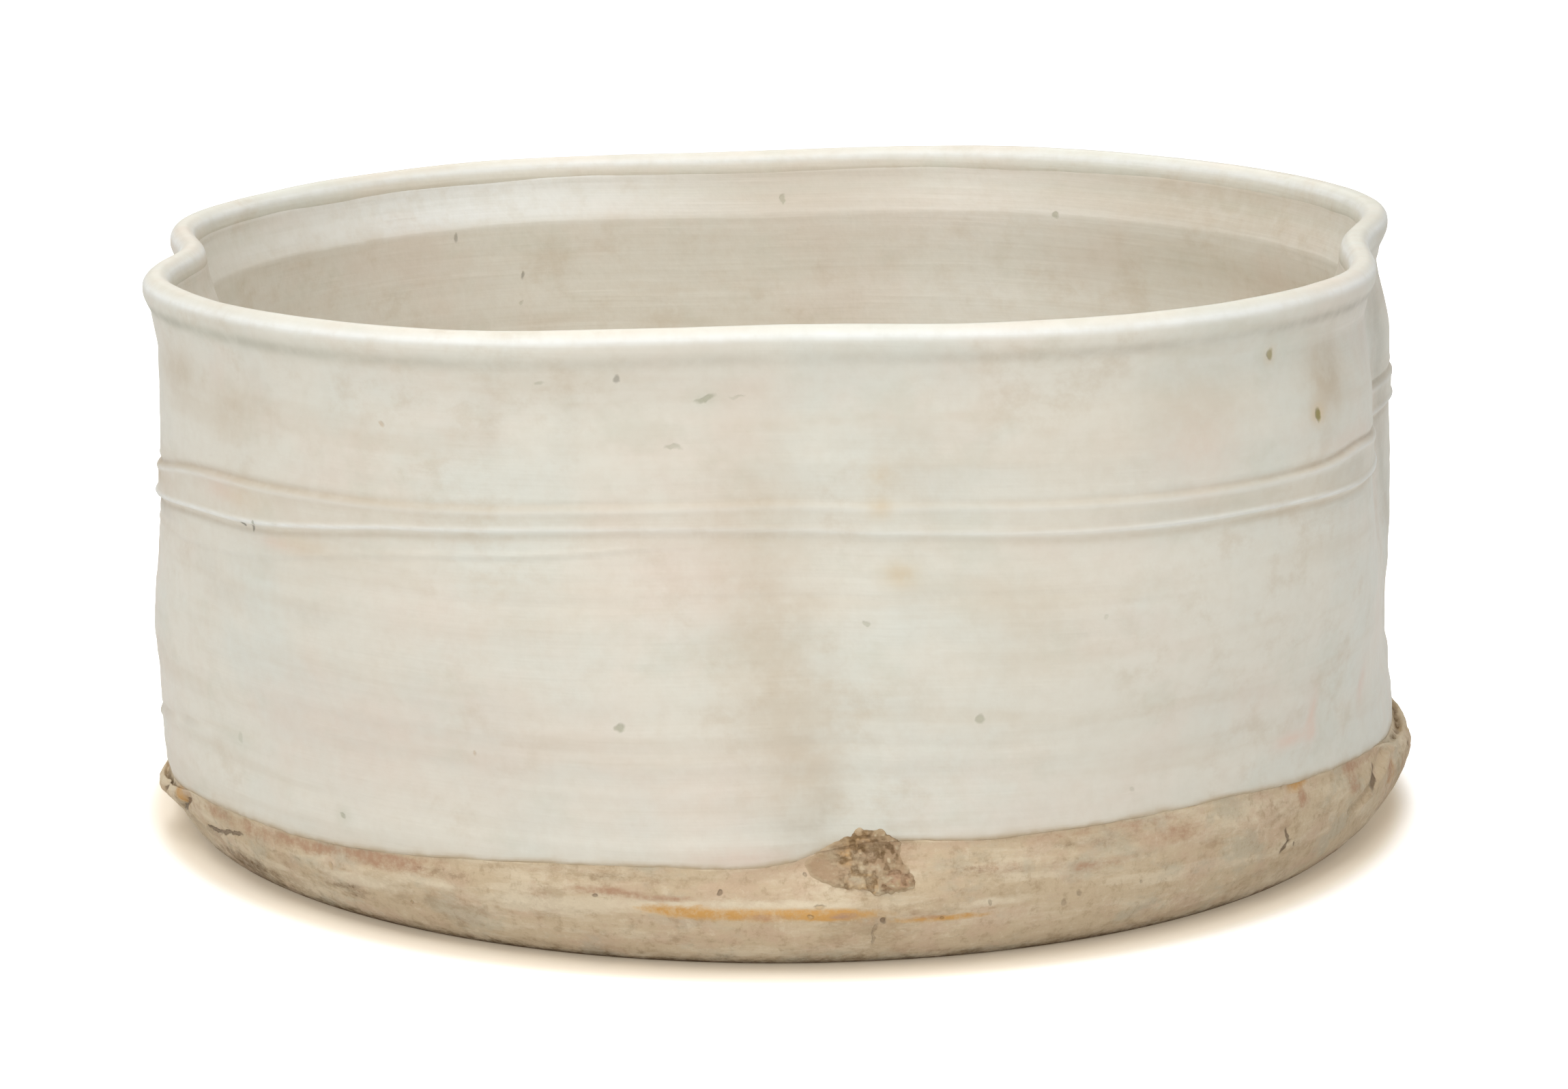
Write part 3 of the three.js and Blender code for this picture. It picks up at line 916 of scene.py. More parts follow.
@dataclass
class OuterGlaze:
    """The glaze outside, from the bare foot up over the rolled rim to the groove inside it."""

    steps: int = 570
    coat: float = 1.0
    fold_depth: float = 1.1
    deepest: float = 0.34
    swell: float = 2.1
    crease: Knots = ((25, 277.3), (40.7, 277.0), (63.4, 275.9), (92.5, 274.6), (107.4, 271.5), (125, 269.5))
    fold_radius: float = 137.4
    feather: float = 0.3
    plain_to: float = 79.0
    belt_to: float = 105.0
    lip_foot: float = 4.25
    back_top: float = 4.6
    back_levels: tuple[float, ...] = (0.88, 0.7, 0.52, 0.36, 0.22, 0.1, 0.03)
    lip: Knots = (
        (0.24, -2.9), (0.37, -2.2), (0.48, -1.6), (0.76, -1), (0.99, -0.35), (0.93, 0.38), (0.45, 0.91),
        (0, 1.02), (-0.42, 0.93), (-0.84, 0.55), (-1.05, 0), (-1.12, -0.5), (-1.05, -1),
    )
    lip_back: Knots = (
        (-0.6, -0.8), (-0.55, 0.2), (0, 0.62), (0.52, 0.25), (0.4, -0.6), (0.05, -1.7), (-0.1, -2.9),
    )
    belt: Ridge = Ridge(
        ((30, 93), (90, 91), (150, 88), (197, 86.9), (211, 89.7), (222.5, 91.2), (231, 93.6), (238.5, 95.6),
         (257, 96.7), (275, 95.2), (291, 94.3), (300, 94.1), (312, 94.1), (327, 92.9), (340, 93.6)),
        ((30, 0.5), (150, 0.8), (197, 1.0), (225, 0.95), (245, 0.6), (262, 0.3), (285, 0.4), (300, 0.65),
         (318, 0.95), (338, 0.95)),
        ((0.62, 0.35, 0.7), (-0.3, -1.0, 0.8)),
    )
    belt_top: Ridge = Ridge(
        ((30, 100), (150, 96), (196, 94.3), (211, 99.4), (217, 100.4), (240, 101.5), (262, 102.3),
         (285, 101.5), (311.5, 101), (321, 101.2), (327, 102.5), (335, 101.2)),
        ((30, 0.5), (150, 0.8), (196, 0.9), (217, 0.7), (240, 0.4), (262, 0.3), (285, 0.3), (308, 0.6),
         (320, 0.9), (338, 0.9)),
        ((-0.75, 0.3, 0.75), (0.45, -1.2, 0.8), (0.3, 1.9, 0.9)),
    )
    faint: Ridge = Ridge(
        ((150, 79), (216, 82.8), (238, 90), (253, 92.1), (262, 93.2), (300, 84)),
        ((30, 0.0), (150, 0.3), (216, 0.5), (238, 0.5), (256, 0.35), (266, 0.0), (300, 0.0)),
        ((0.6, 0.0, 0.6), (-0.25, -1.2, 0.7)),
    )
    low: Ridge = Ridge(
        ((150, 30), (194, 31.7), (200, 33.6), (213, 37.9), (221, 39.3), (240, 41), (300, 40)),
        ((150, 0.5), (194, 1.0), (213, 0.8), (222, 0.3), (235, 0.0), (300, 0.0)),
        ((0.65, -1.0, 0.9), (-0.5, 0.5, 0.7)),
    )
    stains: tuple[Stain, ...] = (
        *stains_of(
            Tint.BLUSH,
            (322.2, 43.8, 1.7, 4.5, 0.95), (322.2, 38.5, 2.6, 2.6, 1), (319, 38.2, 6.5, 1.6, 1),
            (333, 43, 3, 4, 0.9), (313.2, 51.7, 9, 6, 0.3), (235, 45, 30, 14, 0.4),
            (262, 38, 26, 12, 0.3), (325, 104, 14, 2.6, 0.4), (217, 97, 9, 3, 0.6),
            (225, 88, 7, 1.6, 0.6), (267.5, 25.6, 13, 2.4, 0.6), (262, 86, 22, 10, 0.35),
            (242, 78, 14, 9, 0.3), (305.2, 110, 12, 8, 0.4),
        ),
        *stains_of(
            Tint.OCHRE,
            (280.6, 86.5, 4.6, 3, 0.5), (279, 100.8, 3, 2.4, 0.45), (279, 108, 3, 2.6, 0.35),
            (319.3, 112.3, 2.4, 2.2, 0.7), (314, 127.3, 1.6, 2, 0.5), (221, 96.5, 9, 3, 0.3),
            (228, 89, 9, 2, 0.3),
        ),
        *stains_of(
            Tint.SHADE,
            (213.5, 78, 8, 4, 0.16), (222.5, 123, 4, 5, 0.1), (246, 121, 3, 9, 0.12),
            (252.5, 119, 3, 8, 0.12), (322.3, 121, 5, 6, 0.22), (304, 96.6, 18, 1.7, 0.2),
            (326, 97.4, 12, 3, 0.26), (194.5, 97.5, 10, 1, 0.75), (202, 84.6, 14, 1.2, 0.22),
            # (272.8, 31.5) and (274.5, 38): painted shade at the foot of the front crease. (359.5, 98):
            # painted shade on the strip of wall behind the right tuck.
            (217.1, 72.5, 9, 3.5, 0.16), (228.8, 73.3, 9, 3, 0.16), (272.8, 31.5, 8, 5, 0.3),
            (274.5, 38, 4, 5, 0.15), (359.5, 98, 9, 44, 0.48),
        ),
        *stains_of(
            Tint.TAN,
            (321.3, 119.5, 8, 9, 0.9), (318, 93, 20, 1.2, 0.3), (199, 93, 13, 2.4, 0.9),
            # (236, 100.5): painted shade along the belt's top groove. (268, 92), (270.5, 62) and (272.5,
            # 42): painted shade in tan on the front crease's left slope.
            (236, 100.5, 62, 2.4, 0.28), (208.3, 121.3, 13, 6, 0.65), (219, 116, 10, 7, 0.5),
            (268, 92, 11, 24, 0.5), (270.5, 62, 11, 20, 0.5), (272.5, 42, 9, 12, 0.5),
            (281.5, 112, 8, 9, 0.3), (296, 112, 16, 8, 0.22), (305.2, 118.5, 15, 9, 0.45),
            (290.3, 77.8, 15, 13, 0.4), (251.2, 79.4, 14, 11, 0.28),
        ),
        *stains_of(
            Tint.MOSS,
            (217, 37.5, 7, 3, 0.35), (231.2, 27, 2.2, 2.2, 0.5), (263.8, 124.8, 3.5, 1.4, 0.5),
        ),
    )

    def heights(self, line: Array) -> Array:
        """Heights of the wall's rows at each angle: evenly spaced, and close together across the belt."""
        share = np.linspace(0.0, 1.0, 46)[None, :-1] ** 1.15
        lower = line + 0.7 + (self.plain_to - line - 0.7) * share
        belt = np.linspace(self.plain_to, self.belt_to, 48)[:-1]
        upper = np.linspace(self.belt_to, POT.rim_height - self.lip_foot * POT.roll_radius, 13)
        rest = np.broadcast_to(np.concatenate([belt, upper]), (len(line), len(belt) + len(upper)))
        return np.concatenate([lower, rest], axis=1)

    def relief(self, angle: Array, height: Array, line: Array) -> Array:
        """The wall's fine relief in millimetres, which dies away at the glaze line and the lip.

        The belt stands between its two lines: it rises sharply over the lower one, which has a fine
        crest, and ends in a groove at the upper one. Throwing lines are noise that is very long
        round the pot, and the hand's unevenness is noise of about 30 mm.
        """
        low, high = self.belt.above(angle, height), self.belt_top.above(angle, height)
        strong = self.belt.strength(angle)
        soft = 2.3 - 1.7 * np.clip(strong, 0.0, 1.0)
        raised = smooth_step(low / soft, -0.6, 0.5) * (1 - smooth_step(high, -1.0, 1.8))
        shape = (0.38 + 0.24 * strong) * raised
        ridges = (self.belt, self.belt_top, self.faint, self.low)
        shape += sum(ridge.relief(angle, height) for ridge in ridges)
        thrown = Noise(21, 330.0, 3.1).at(angle, height) + 0.7 * Noise(22, 240.0, 1.9).at(angle, height)
        fade = (1 - smooth_step(height, 118, 127)) * smooth_step(height - line, 0.0, 4.0)
        shape += 0.13 * thrown * (0.6 + 0.75 * (1 - smooth_step(height, 45, 75)))
        shape += 0.22 * relief(23, 34.0, 22.0, angle, height)
        shape += self.swell * window(angle, 187, 211, 9.0) * bell(height, 46.0, 26.0)
        shape += 0.55 * bump(angle, 272.0, 15.0) * bell(height, 94.0, 12.0)
        shape += 0.5 * bump(angle, 182.0, 9.0) * bell(height, 93.8, 5.0)
        shape = shape * fade + self.fold(angle, height)
        shape += 0.8 * bump(angle, 182.0, 10.0) * bell(height, 128.5, 4.0)
        return np.where(shape < 0, self.deepest * np.tanh(shape / self.deepest), shape)

    def fold(self, angle: Array, height: Array) -> Array:
        """The front crease's sharp fold, in millimetres.

        It is a bell curve inwards, steeper on its right, between two outward bell curves, of which
        the right one is higher and nearer.
        """
        levels, places = zip(*self.crease)
        across = away_from(angle, np.interp(height, levels, places)) * math.radians(self.fold_radius)
        across = across / (0.55 + 0.45 * smooth_step(height, 30, 90))
        strength = self.fold_depth * smooth_step(height, 26, 42) * (1 - smooth_step(height, 96, 124))
        crease = bell(across, 0.0, np.where(across < 0, 13.0, 7.0))
        shoulders = 0.6 * bell(across, -24.0, 13.0) + 1.2 * bell(across, 11.0, 7.0)
        return strength * (shoulders - 0.3 * crease)

    def build(self) -> Shell:
        """The shell: up the wall and over the lip, then down again a coat's thickness behind."""
        angle = front_dense(self.steps)
        around = angle[:, None]
        line = GLAZE_LINE.height(angle)[:, None]
        heights = self.heights(line)
        wall = POT.wall_radius(around, heights) + self.relief(around, heights, line)
        front = pairs(wall, heights)
        hem = line + np.array([[-0.15, 0.02, 0.3]])
        edge = POT.wall_radius(around, hem) - self.feather * np.array([[1.15, 0.8, 0.28]])
        unit = POT.roll_radius
        lip = POT.beside_rim(around, self.lip, 1 + 0.035 * level_relief(31, 26.0, around))
        under_roll = bell(lip[..., 1], POT.rim_height - 3.0 * unit, 4.0)
        lip[..., 0] += 0.95 * bump(around, 182.0, 10.0) * under_roll
        last = lip[:, -1:] + (lip[:, -1:] - lip[:, -2:-1])
        over = curve_through(np.concatenate([front[:, -2:], lip, last], axis=1), 4)[:, 1:]
        lip_back = POT.beside_rim(around, self.lip_back)
        behind = line + (POT.rim_height - self.back_top * unit - line) * np.array(self.back_levels)
        back = pairs(POT.wall_radius(around, behind) - self.coat, behind)
        section = np.concatenate([pairs(edge, hem), front, over, lip_back, back], axis=1)
        tints = self.tints(around, line, section[..., 1])
        for values in tints.values():
            values[:, -len(self.back_levels) :] = 0
        return Shell("bowl_outer_glaze", POT.place(angle, section), False, tints)

    def tints(self, around: Array, line: Array, height: Array) -> dict[Tint, Array]:
        """The tints: the listed ones, thin glaze at the hem, tan between the belt's lines, painted shade in
        the grooves and under the rim's roll, and painted highlights on the crests and the roll's crown.
        """
        kept = {tint: stained(self.stains, tint, around, height) for tint in Tint if tint is not Tint.FLASH}
        above = np.clip(height - line, 0, None)
        ragged = 1 + 0.5 * relief(32, 7.0, 4.0, around, height)
        kept[Tint.CLAY] = 0.85 * bell(above, 0.0, 0.9 * ragged) + 0.18 * np.exp(-above / 2.5)
        low, high = self.belt.above(around, height), self.belt_top.above(around, height)
        strong, top = self.belt.strength(around), self.belt_top.strength(around)
        between = smooth_step(low, 0.4, 1.6) * (1 - smooth_step(high, -0.4, 1.4))
        # Tan between the belt's lines, and painted shade in tan in the groove under the lower line, in the
        # groove at the upper line and in the low groove.
        kept[Tint.TAN] += strong * (0.22 * between + 0.5 * bell(low, -1.3, 0.9))
        kept[Tint.TAN] += top * 0.6 * bell(high, 0.3, 0.8)
        groove = self.low.above(around, height)
        kept[Tint.TAN] += self.low.strength(around) * 0.3 * bell(groove, 0.5, 0.7)
        # Painted highlights along the crests of the belt's lines.
        crests = bell(low, 0.55, 0.5) * strong
        crests += 0.7 * bell(high, -1.2, 0.5) * top
        kept[Tint.PALE] += 0.75 * crests
        unit = POT.roll_radius
        # Painted shade under the rim's roll, stronger at the left and the right, and greenish at the left.
        neck = bell(height, POT.rim_height - 1.1 * unit, 1.5)
        sides = 0.8 + 1.8 * bump(around, 200.0, 45.0) + 2.1 * bump(around, 328.0, 34.0)
        kept[Tint.SHADE] += 0.2 * neck * sides * (1 + 0.5 * level_relief(33, 30.0, around))
        kept[Tint.MOSS] += 0.8 * neck * bump(around, 208.0, 28.0)
        # Painted highlight along the roll's crown.
        kept[Tint.PALE] += 0.75 * bell(height, POT.rim_height + 0.42 * unit, 0.3 * unit)
        return kept


@dataclass
class InnerGlaze:
    """The glaze inside: the flare under the rim, the upright wall, the rounded corner and the floor."""

    steps: int = 480
    flare: Knots = (
        (-1, -0.35), (-1.12, -0.66), (-1.17, -1.1), (-1.27, -1.65), (-1.45, -2.3), (-1.74, -3.2),
        (-2, -4.02),
    )
    edge_drop: float = 0.55
    joint: float = 101.5
    floor_top: float = 10.3
    corner: float = 12.0
    behind: float = 1.0

    def radius(self, angle: Array, height: Array) -> Array:
        """Radius of the upright inner wall."""
        throw = 0.12 * Noise(41, 300.0, 5.0).at(angle, height)
        throw += 0.25 * relief(42, 40.0, 30.0, angle, height)
        pooled = 0.8 * bell(height, 74.5, 9.0) + 1.85 * bell(height, 18.0, 12.0)
        return POT.wall_radius(angle, height) - WALL.thickness(height) + throw - pooled

    def build(self) -> Shell:
        """The shell: out along the underside, up behind the wall, over the flare and back to the middle."""
        angle = np.arange(self.steps) * FULL_TURN / self.steps
        around = angle[:, None]
        flare = POT.beside_rim(around, self.flare)
        first = 2 * flare[:, :1] - flare[:, 1:2] + np.array([0.1, 0.0])
        last = 2 * flare[:, -1:] - flare[:, -2:-1]
        band = curve_through(np.concatenate([first, flare, last], axis=1), 4)
        top = flare[0, -1, 1] - self.edge_drop
        drop = np.linspace(0.0, 1.0, 14)[None, :] ** 1.3
        fall = top + (self.joint - top) * drop
        share = smooth_step(drop, 0.0, 1.0)
        under = flare[:, -1:, 0] - 0.1
        upright = under + (self.radius(around, fall) - under) * (0.5 * drop + 0.5 * share)
        upper = pairs(upright, fall)
        heights = np.linspace(self.joint, self.floor_top + self.corner, 44)[None, 1:]
        wall_r = self.radius(around, heights)
        turn = np.radians(np.linspace(0.0, 90.0, 13))[None, 1:]
        corner_r = wall_r[:, -1:] - self.corner * (1 - np.cos(turn))
        corner = pairs(corner_r, self.floor_top + self.corner * (1 - np.sin(turn)))
        inward = np.linspace(1.0, 0.0, 46)[None, 1:]
        floor_r = corner_r[:, -1:] * inward
        rings = 0.16 * np.sin(floor_r / 2.6 + np.radians(around)) * smooth_step(floor_r, 4.0, 20.0)
        floor = pairs(floor_r, self.floor_top + rings * smooth_step(1 - inward, 0.0, 0.08))
        face = np.concatenate([band, upper, pairs(wall_r, heights), corner, floor], axis=1)
        section = np.concatenate([self.back(around, face), face], axis=1)
        section[:, 0] = (0.0, self.floor_top - self.behind)
        section[:, -1] = (0.0, self.floor_top)
        tints = self.tints(around, section[..., 1])
        return Shell("bowl_inner_glaze", POT.place(angle, section), True, tints)

    def tints(self, around: Array, height: Array) -> dict[Tint, Array]:
        """The tints: tan and a little shade low down, a pink spot, greenish painted shade under the rim's
        roll, painted light on the flare towards the left and on the wall right of the middle, and painted
        shade in tan on the flare in the middle and towards the right.
        """
        low = np.exp(-np.clip(height - self.floor_top, 0, None) / 9.0)
        flared = smooth_step(height, 121.0, 126.0)
        walled = smooth_step(height, 14.0, 60.0)
        # Painted shade in tan on the flare, in the middle and towards the right.
        flare_shade = 0.5 * bump(around, 42.0, 24.0) + 0.35 * bump(around, 90.0, 20.0)
        return {
            Tint.TAN: 0.12 * low + flared * flare_shade,
            Tint.BLUSH: 0.3 * bump(around, 149.0, 6.0) * bell(height, 131.6, 3.0),
            # Painted light on the flare towards the left and on the wall right of the middle.
            Tint.PALE: 0.8 * flared * bump(around, 126.0, 26.0) + 0.3 * walled * bump(around, 68.0, 16.0),
            # Greenish painted shade in a band under the rim's roll.
            Tint.MOSS: 0.2 * bell(height, POT.rim_height - 2.0 * POT.roll_radius, 1.6),
            Tint.SHADE: 0.05 * low,
        }

    def back(self, around: Array, face: Array) -> Array:
        """The hidden side: the face's own points, thinned out and moved a coat's thickness outwards."""
        picked = face[:, ::-1][:, 1:-1:4]
        steps = np.gradient(picked, axis=1)
        length = np.linalg.norm(steps, axis=-1, keepdims=True)
        normal = pairs(steps[..., 1], -steps[..., 0]) / np.maximum(length, 1e-6)
        moved = picked + normal * self.behind
        middle = np.zeros((len(around), 1, 2))
        return np.concatenate([middle, moved[:, :-1], POT.beside_rim(around, ((-0.62, -0.8),))], axis=1)


@dataclass(frozen=True)
class Ear:
    """A leaf of the base's edge that stands off the wall, in degrees and millimetres.

    Its crest lies lower than the glaze line by the drop, at a radius of the reach. The slot is the
    depth of the hollow between crest and wall.
    """

    angle: float
    half: float
    soft: float
    reach: float
    drop: float
    slot: float

    def stand(self, angle: Array) -> Array:
        """1 where the leaf stands off the wall, 0 away from it."""
        return window(angle, self.angle - self.half, self.angle + self.half, self.soft)


@dataclass
class FootBase:
    """The bare base: a slab whose edge curls up round the foot of the wall.

    The edge lies flush with the glaze, but stands off as an ear where the wall is pressed in at
    the right, left and back.
    """

    steps: int = 980
    flush: float = 0.3
    hollow: tuple[float, float] = (0.66, 0.2)
    sole: tuple[float, ...] = (0.0, 40.0, 80.0, 115.0, 135.0, 141.5)
    inside: tuple[float, ...] = (130.0, 90.0, 45.0, 0.0)
    ears: tuple[Ear, ...] = (
        Ear(357.0, 13.0, 8.0, 156.7, 3.6, 1.6),
        Ear(197.0, 5.0, 5.0, 155.0, 3.4, 1.5),
        Ear(95.0, 22.0, 14.0, 154.0, 1.0, 2.0),
    )
    lips: tuple[Crack, ...] = (
        Crack(((208.8, 10.4), (211.9, 11.2), (214.2, 13.0), (216.5, 13.8)), 0.9, 0.6),
        Crack(((318.6, 17.5), (319.2, 14.6), (318.4, 12.9)), 0.9, 0.6),
        Crack(((278.6, 12.4), (278.1, 10.8), (277.8, 8.8), (278.0, 6.2)), 0.7, 0.35),
        Crack(((345.0, 22.5), (339.4, 22.0), (335.6, 19.2), (333.4, 16.9), (330.0, 15.4)), 1.0, 0.8),
        Crack(((205.4, 15.6), (203.4, 12.8), (201.4, 9.8)), 1.0, 1.2),
        Crack(((199.2, 14.6), (198.0, 12.0), (197.4, 9.0)), 0.9, 1.0),
    )
    leaf: Crack = Crack(((347, 21), (341.6, 21.2), (337.6, 18.4), (335.4, 15.8), (332.2, 13.8)), 1.3, 0.7)
    stains: tuple[Stain, ...] = (
        *stains_of(
            Tint.PALE,
            (262.5, 15.6, 17, 1.9, 1), (272.5, 15.9, 14, 1, 0.7), (249.5, 14, 10, 2.2, 0.9),
            (232, 12.6, 9, 1.3, 1), (241, 15.3, 6, 0.9, 0.8), (288, 15, 12, 1.2, 0.6),
            (352, 14, 14, 1.2, 0.8), (326, 20, 13, 6, 0.3), (236, 13, 11, 4, 0.35),
            (209, 13.5, 7, 1, 0.6), (334.5, 12.5, 7, 2.5, 0.5), (331, 26, 2, 3.5, 0.7),
            (300, 22, 26, 3, 0.3),
        ),
        *stains_of(
            Tint.OCHRE,
            (262, 15, 9, 1.3, 0.75), (268.5, 13.9, 15, 1.25, 1), (275, 13.8, 9, 1.2, 1),
            (283.5, 12.1, 11, 0.7, 0.9), (320.7, 27, 4, 1.7, 0.8), (203, 14, 4, 3, 0.8),
            (341, 17, 4, 3.5, 0.45),
        ),
        *stains_of(
            Tint.FLASH,
            (256, 18.4, 8, 1.1, 0.75), (261, 17.4, 8, 0.8, 0.65), (269, 13.2, 6, 0.8, 0.6),
            (275.5, 13.5, 3.5, 0.8, 0.6), (282.5, 12.6, 4, 0.6, 0.5), (330.7, 25.5, 4, 2.6, 0.7),
            (330.4, 20.6, 3.2, 2.2, 0.7), (321.2, 23.5, 1.8, 3, 0.6), (340.5, 17.5, 4, 3, 0.7),
            (212, 16.4, 7, 1.8, 0.6), (226, 17, 8, 1.6, 0.7), (347, 14, 5, 3, 0.5),
            (219, 15.5, 9, 2, 0.5), (236, 18, 12, 1.8, 0.8), (305, 24, 12, 2.4, 0.5),
            (288, 22.5, 8, 1.6, 0.45), (297, 20.5, 14, 1.6, 0.45),
        ),
        *stains_of(
            Tint.SHADE,
            (231, 9.2, 9, 2, 0.5), (216, 6.5, 14, 2.6, 0.5), (242, 18.5, 10, 1.6, 0.34),
            (223, 13.5, 12, 1, 0.3), (256, 21.6, 14, 1.2, 0.26), (297, 25.5, 20, 1.8, 0.24),
            (350, 17.5, 9, 1, 0.5), (262, 8, 15, 3, 0.2), (288, 20, 10, 4, 0.16),
            (201.5, 11.5, 3, 3.5, 0.4), (286, 24, 5, 3, 0.2),
        ),
    )

    def relief(self, angle: Array, height: Array) -> Array:
        """The edge's fine relief in millimetres: trimming lines, lumps, cracks and the leaf's fold."""
        lines = Noise(51, 260.0, 1.7).at(angle, height) + 0.6 * Noise(52, 120.0, 1.0).at(angle, height)
        lumps = relief(53, 16.0, 7.0, angle, height)
        shape = 0.09 * lines + 0.2 * lumps + 0.09 * relief(54, 3.0, 1.8, angle, height)
        shape += self.leaf.depth * self.leaf.at(angle, height)
        return shape - sum(crack.depth * crack.at(angle, height) for crack in self.lips)

    def build(self) -> Shell:
        """The slab: underside, curled edge, the ledge from its crest in to the wall, and the top inside."""
        angle = front_dense(self.steps)
        around = angle[:, None]
        line = GLAZE_LINE.height(angle)[:, None]
        wall = POT.wall_radius(around, line)
        stands = [ear.stand(around) for ear in self.ears]
        stand = np.clip(sum(stands), 0.0, 1.0)
        crest = line - sum(ear.drop * share for ear, share in zip(self.ears, stands))
        crest = crest + 0.5 * stand * level_relief(55, 8.0, around)
        reach = sum(ear.reach * share for ear, share in zip(self.ears, stands))
        reach = (wall - self.flush) * (1 - stand) + reach
        share = np.concatenate([np.linspace(0.0, 0.12, 9)[:-1], np.linspace(0.12, 1.0, 56)])[None]
        height = share * crest
        outline = POT.edge_outline(around, height, line)
        top = POT.edge_outline(around, crest, line)
        pull = smooth_step(height, crest - 7.0, crest)
        ease = smooth_step(height, 0.0, 3.0)
        rounded = 0.7 * stand * smooth_step(height, crest - 1.6, crest)
        radius = outline + (reach - top) * pull - rounded + self.relief(around, height) * ease
        edge = pairs(radius, height)
        sole = pairs(np.array(self.sole) + 0 * line, 0.0)
        ledge = self.ledge(around, radius[:, -1:], crest, wall - 0.4, line, stands)
        foot = POT.floor_thickness
        seat = np.concatenate([pairs(wall - 1.6, line - 0.2), pairs(wall - 2.0, foot)], axis=1)
        floor = pairs(np.array(self.inside) + 0 * line, foot)
        section = np.concatenate([sole, edge, ledge, seat, floor], axis=1)
        tints = self.tints(around, crest, section[..., 1])
        ledge_points = slice(sole.shape[1] + edge.shape[1], -seat.shape[1] - floor.shape[1])
        # Painted shade in the hollow between each ear's crest and the wall.
        deep = bell(self.way[None, 1:], *self.hollow)
        slots = sum(min(0.55 * ear.slot, 0.95) * share for ear, share in zip(self.ears, stands))
        tints[Tint.SHADE][:, ledge_points] = deep * slots * (0.6 + 0.4 * level_relief(56, 4.0, around))
        return Shell("bowl_bare_base", POT.place(angle, section), True, tints)

    @property
    def way(self) -> Array:
        """Shares of the way from the crest in to the wall."""
        return np.linspace(0.0, 1.0, 12)

    def ledge(
        self, around: Array, crest_r: Array, crest: Array, wall: Array, line: Array, stands: Sequence[Array]
    ) -> Array:
        """The top of the edge from its crest in to the wall.

        It rises as the power 0.8 of the way in, with a small ridge a third of the way and the
        hollow of each ear, a bell curve, two thirds of the way.

        Args:
            around: degrees, one row for each.
            crest_r: radius of the crest.
            crest: height of the crest.
            wall: radius at which the ledge meets the wall.
            line: height of the glaze line.
            stands: how far each ear stands off.

        Returns:
            [angle, point, (radius, height)].
        """
        way = self.way[None, 1:]
        radius = crest_r + (wall - crest_r) * way
        climb = crest + (line + 0.05 - crest) * way**0.8
        stand = sum(stands)
        slot = sum(ear.slot * share for ear, share in zip(self.ears, stands))
        ridge = 0.55 * bell(way, 0.3, 0.13) * stand
        hollow = slot * bell(way, *self.hollow) * (1 + 0.7 * level_relief(57, 5.0, around))
        rough = 0.25 * stand * relief(58, 3.0, 3.0, around, 9.0 * way)
        height = climb + (ridge - hollow + rough) * (1 - way**6)
        return pairs(radius, height)

    def tints(self, around: Array, crest: Array, height: Array) -> dict[Tint, Array]:
        """The tints: the listed ones, a toasted line under the glaze, pale at the crest, and darker towards
        the sole, which is painted shade where the edge curls under, with some toasted colour.
        """
        listed = (Tint.PALE, Tint.OCHRE, Tint.FLASH, Tint.SHADE)
        tints = {tint: stained(self.stains, tint, around, height) for tint in listed}
        patchy = np.clip(0.5 + 0.5 * relief(61, 22.0, 9.0, around, height), 0, 1)
        tints[Tint.FLASH] += 0.45 * bell(height, crest - 1.3, 1.0) * patchy
        tints[Tint.PALE] += 0.35 * np.exp(-np.clip(crest - height, 0, None) / 0.5)
        # Darker towards the sole: painted shade where the edge curls under the bowl, with some toasted
        # colour; the underside is evenly darker.
        thin = 1.6 + 0.6 * bump(around, 322.0, 40.0) + 1.3 * bump(around, 216.0, 26.0)
        low = np.clip(height, 0, None) / thin
        tints[Tint.SHADE] += 0.5 * bell(low, 0.0, 1.7) + 0.5 * bell(low, 0.0, 0.55)
        tints[Tint.SHADE][:, : len(self.sole)] = 0.25
        return tints


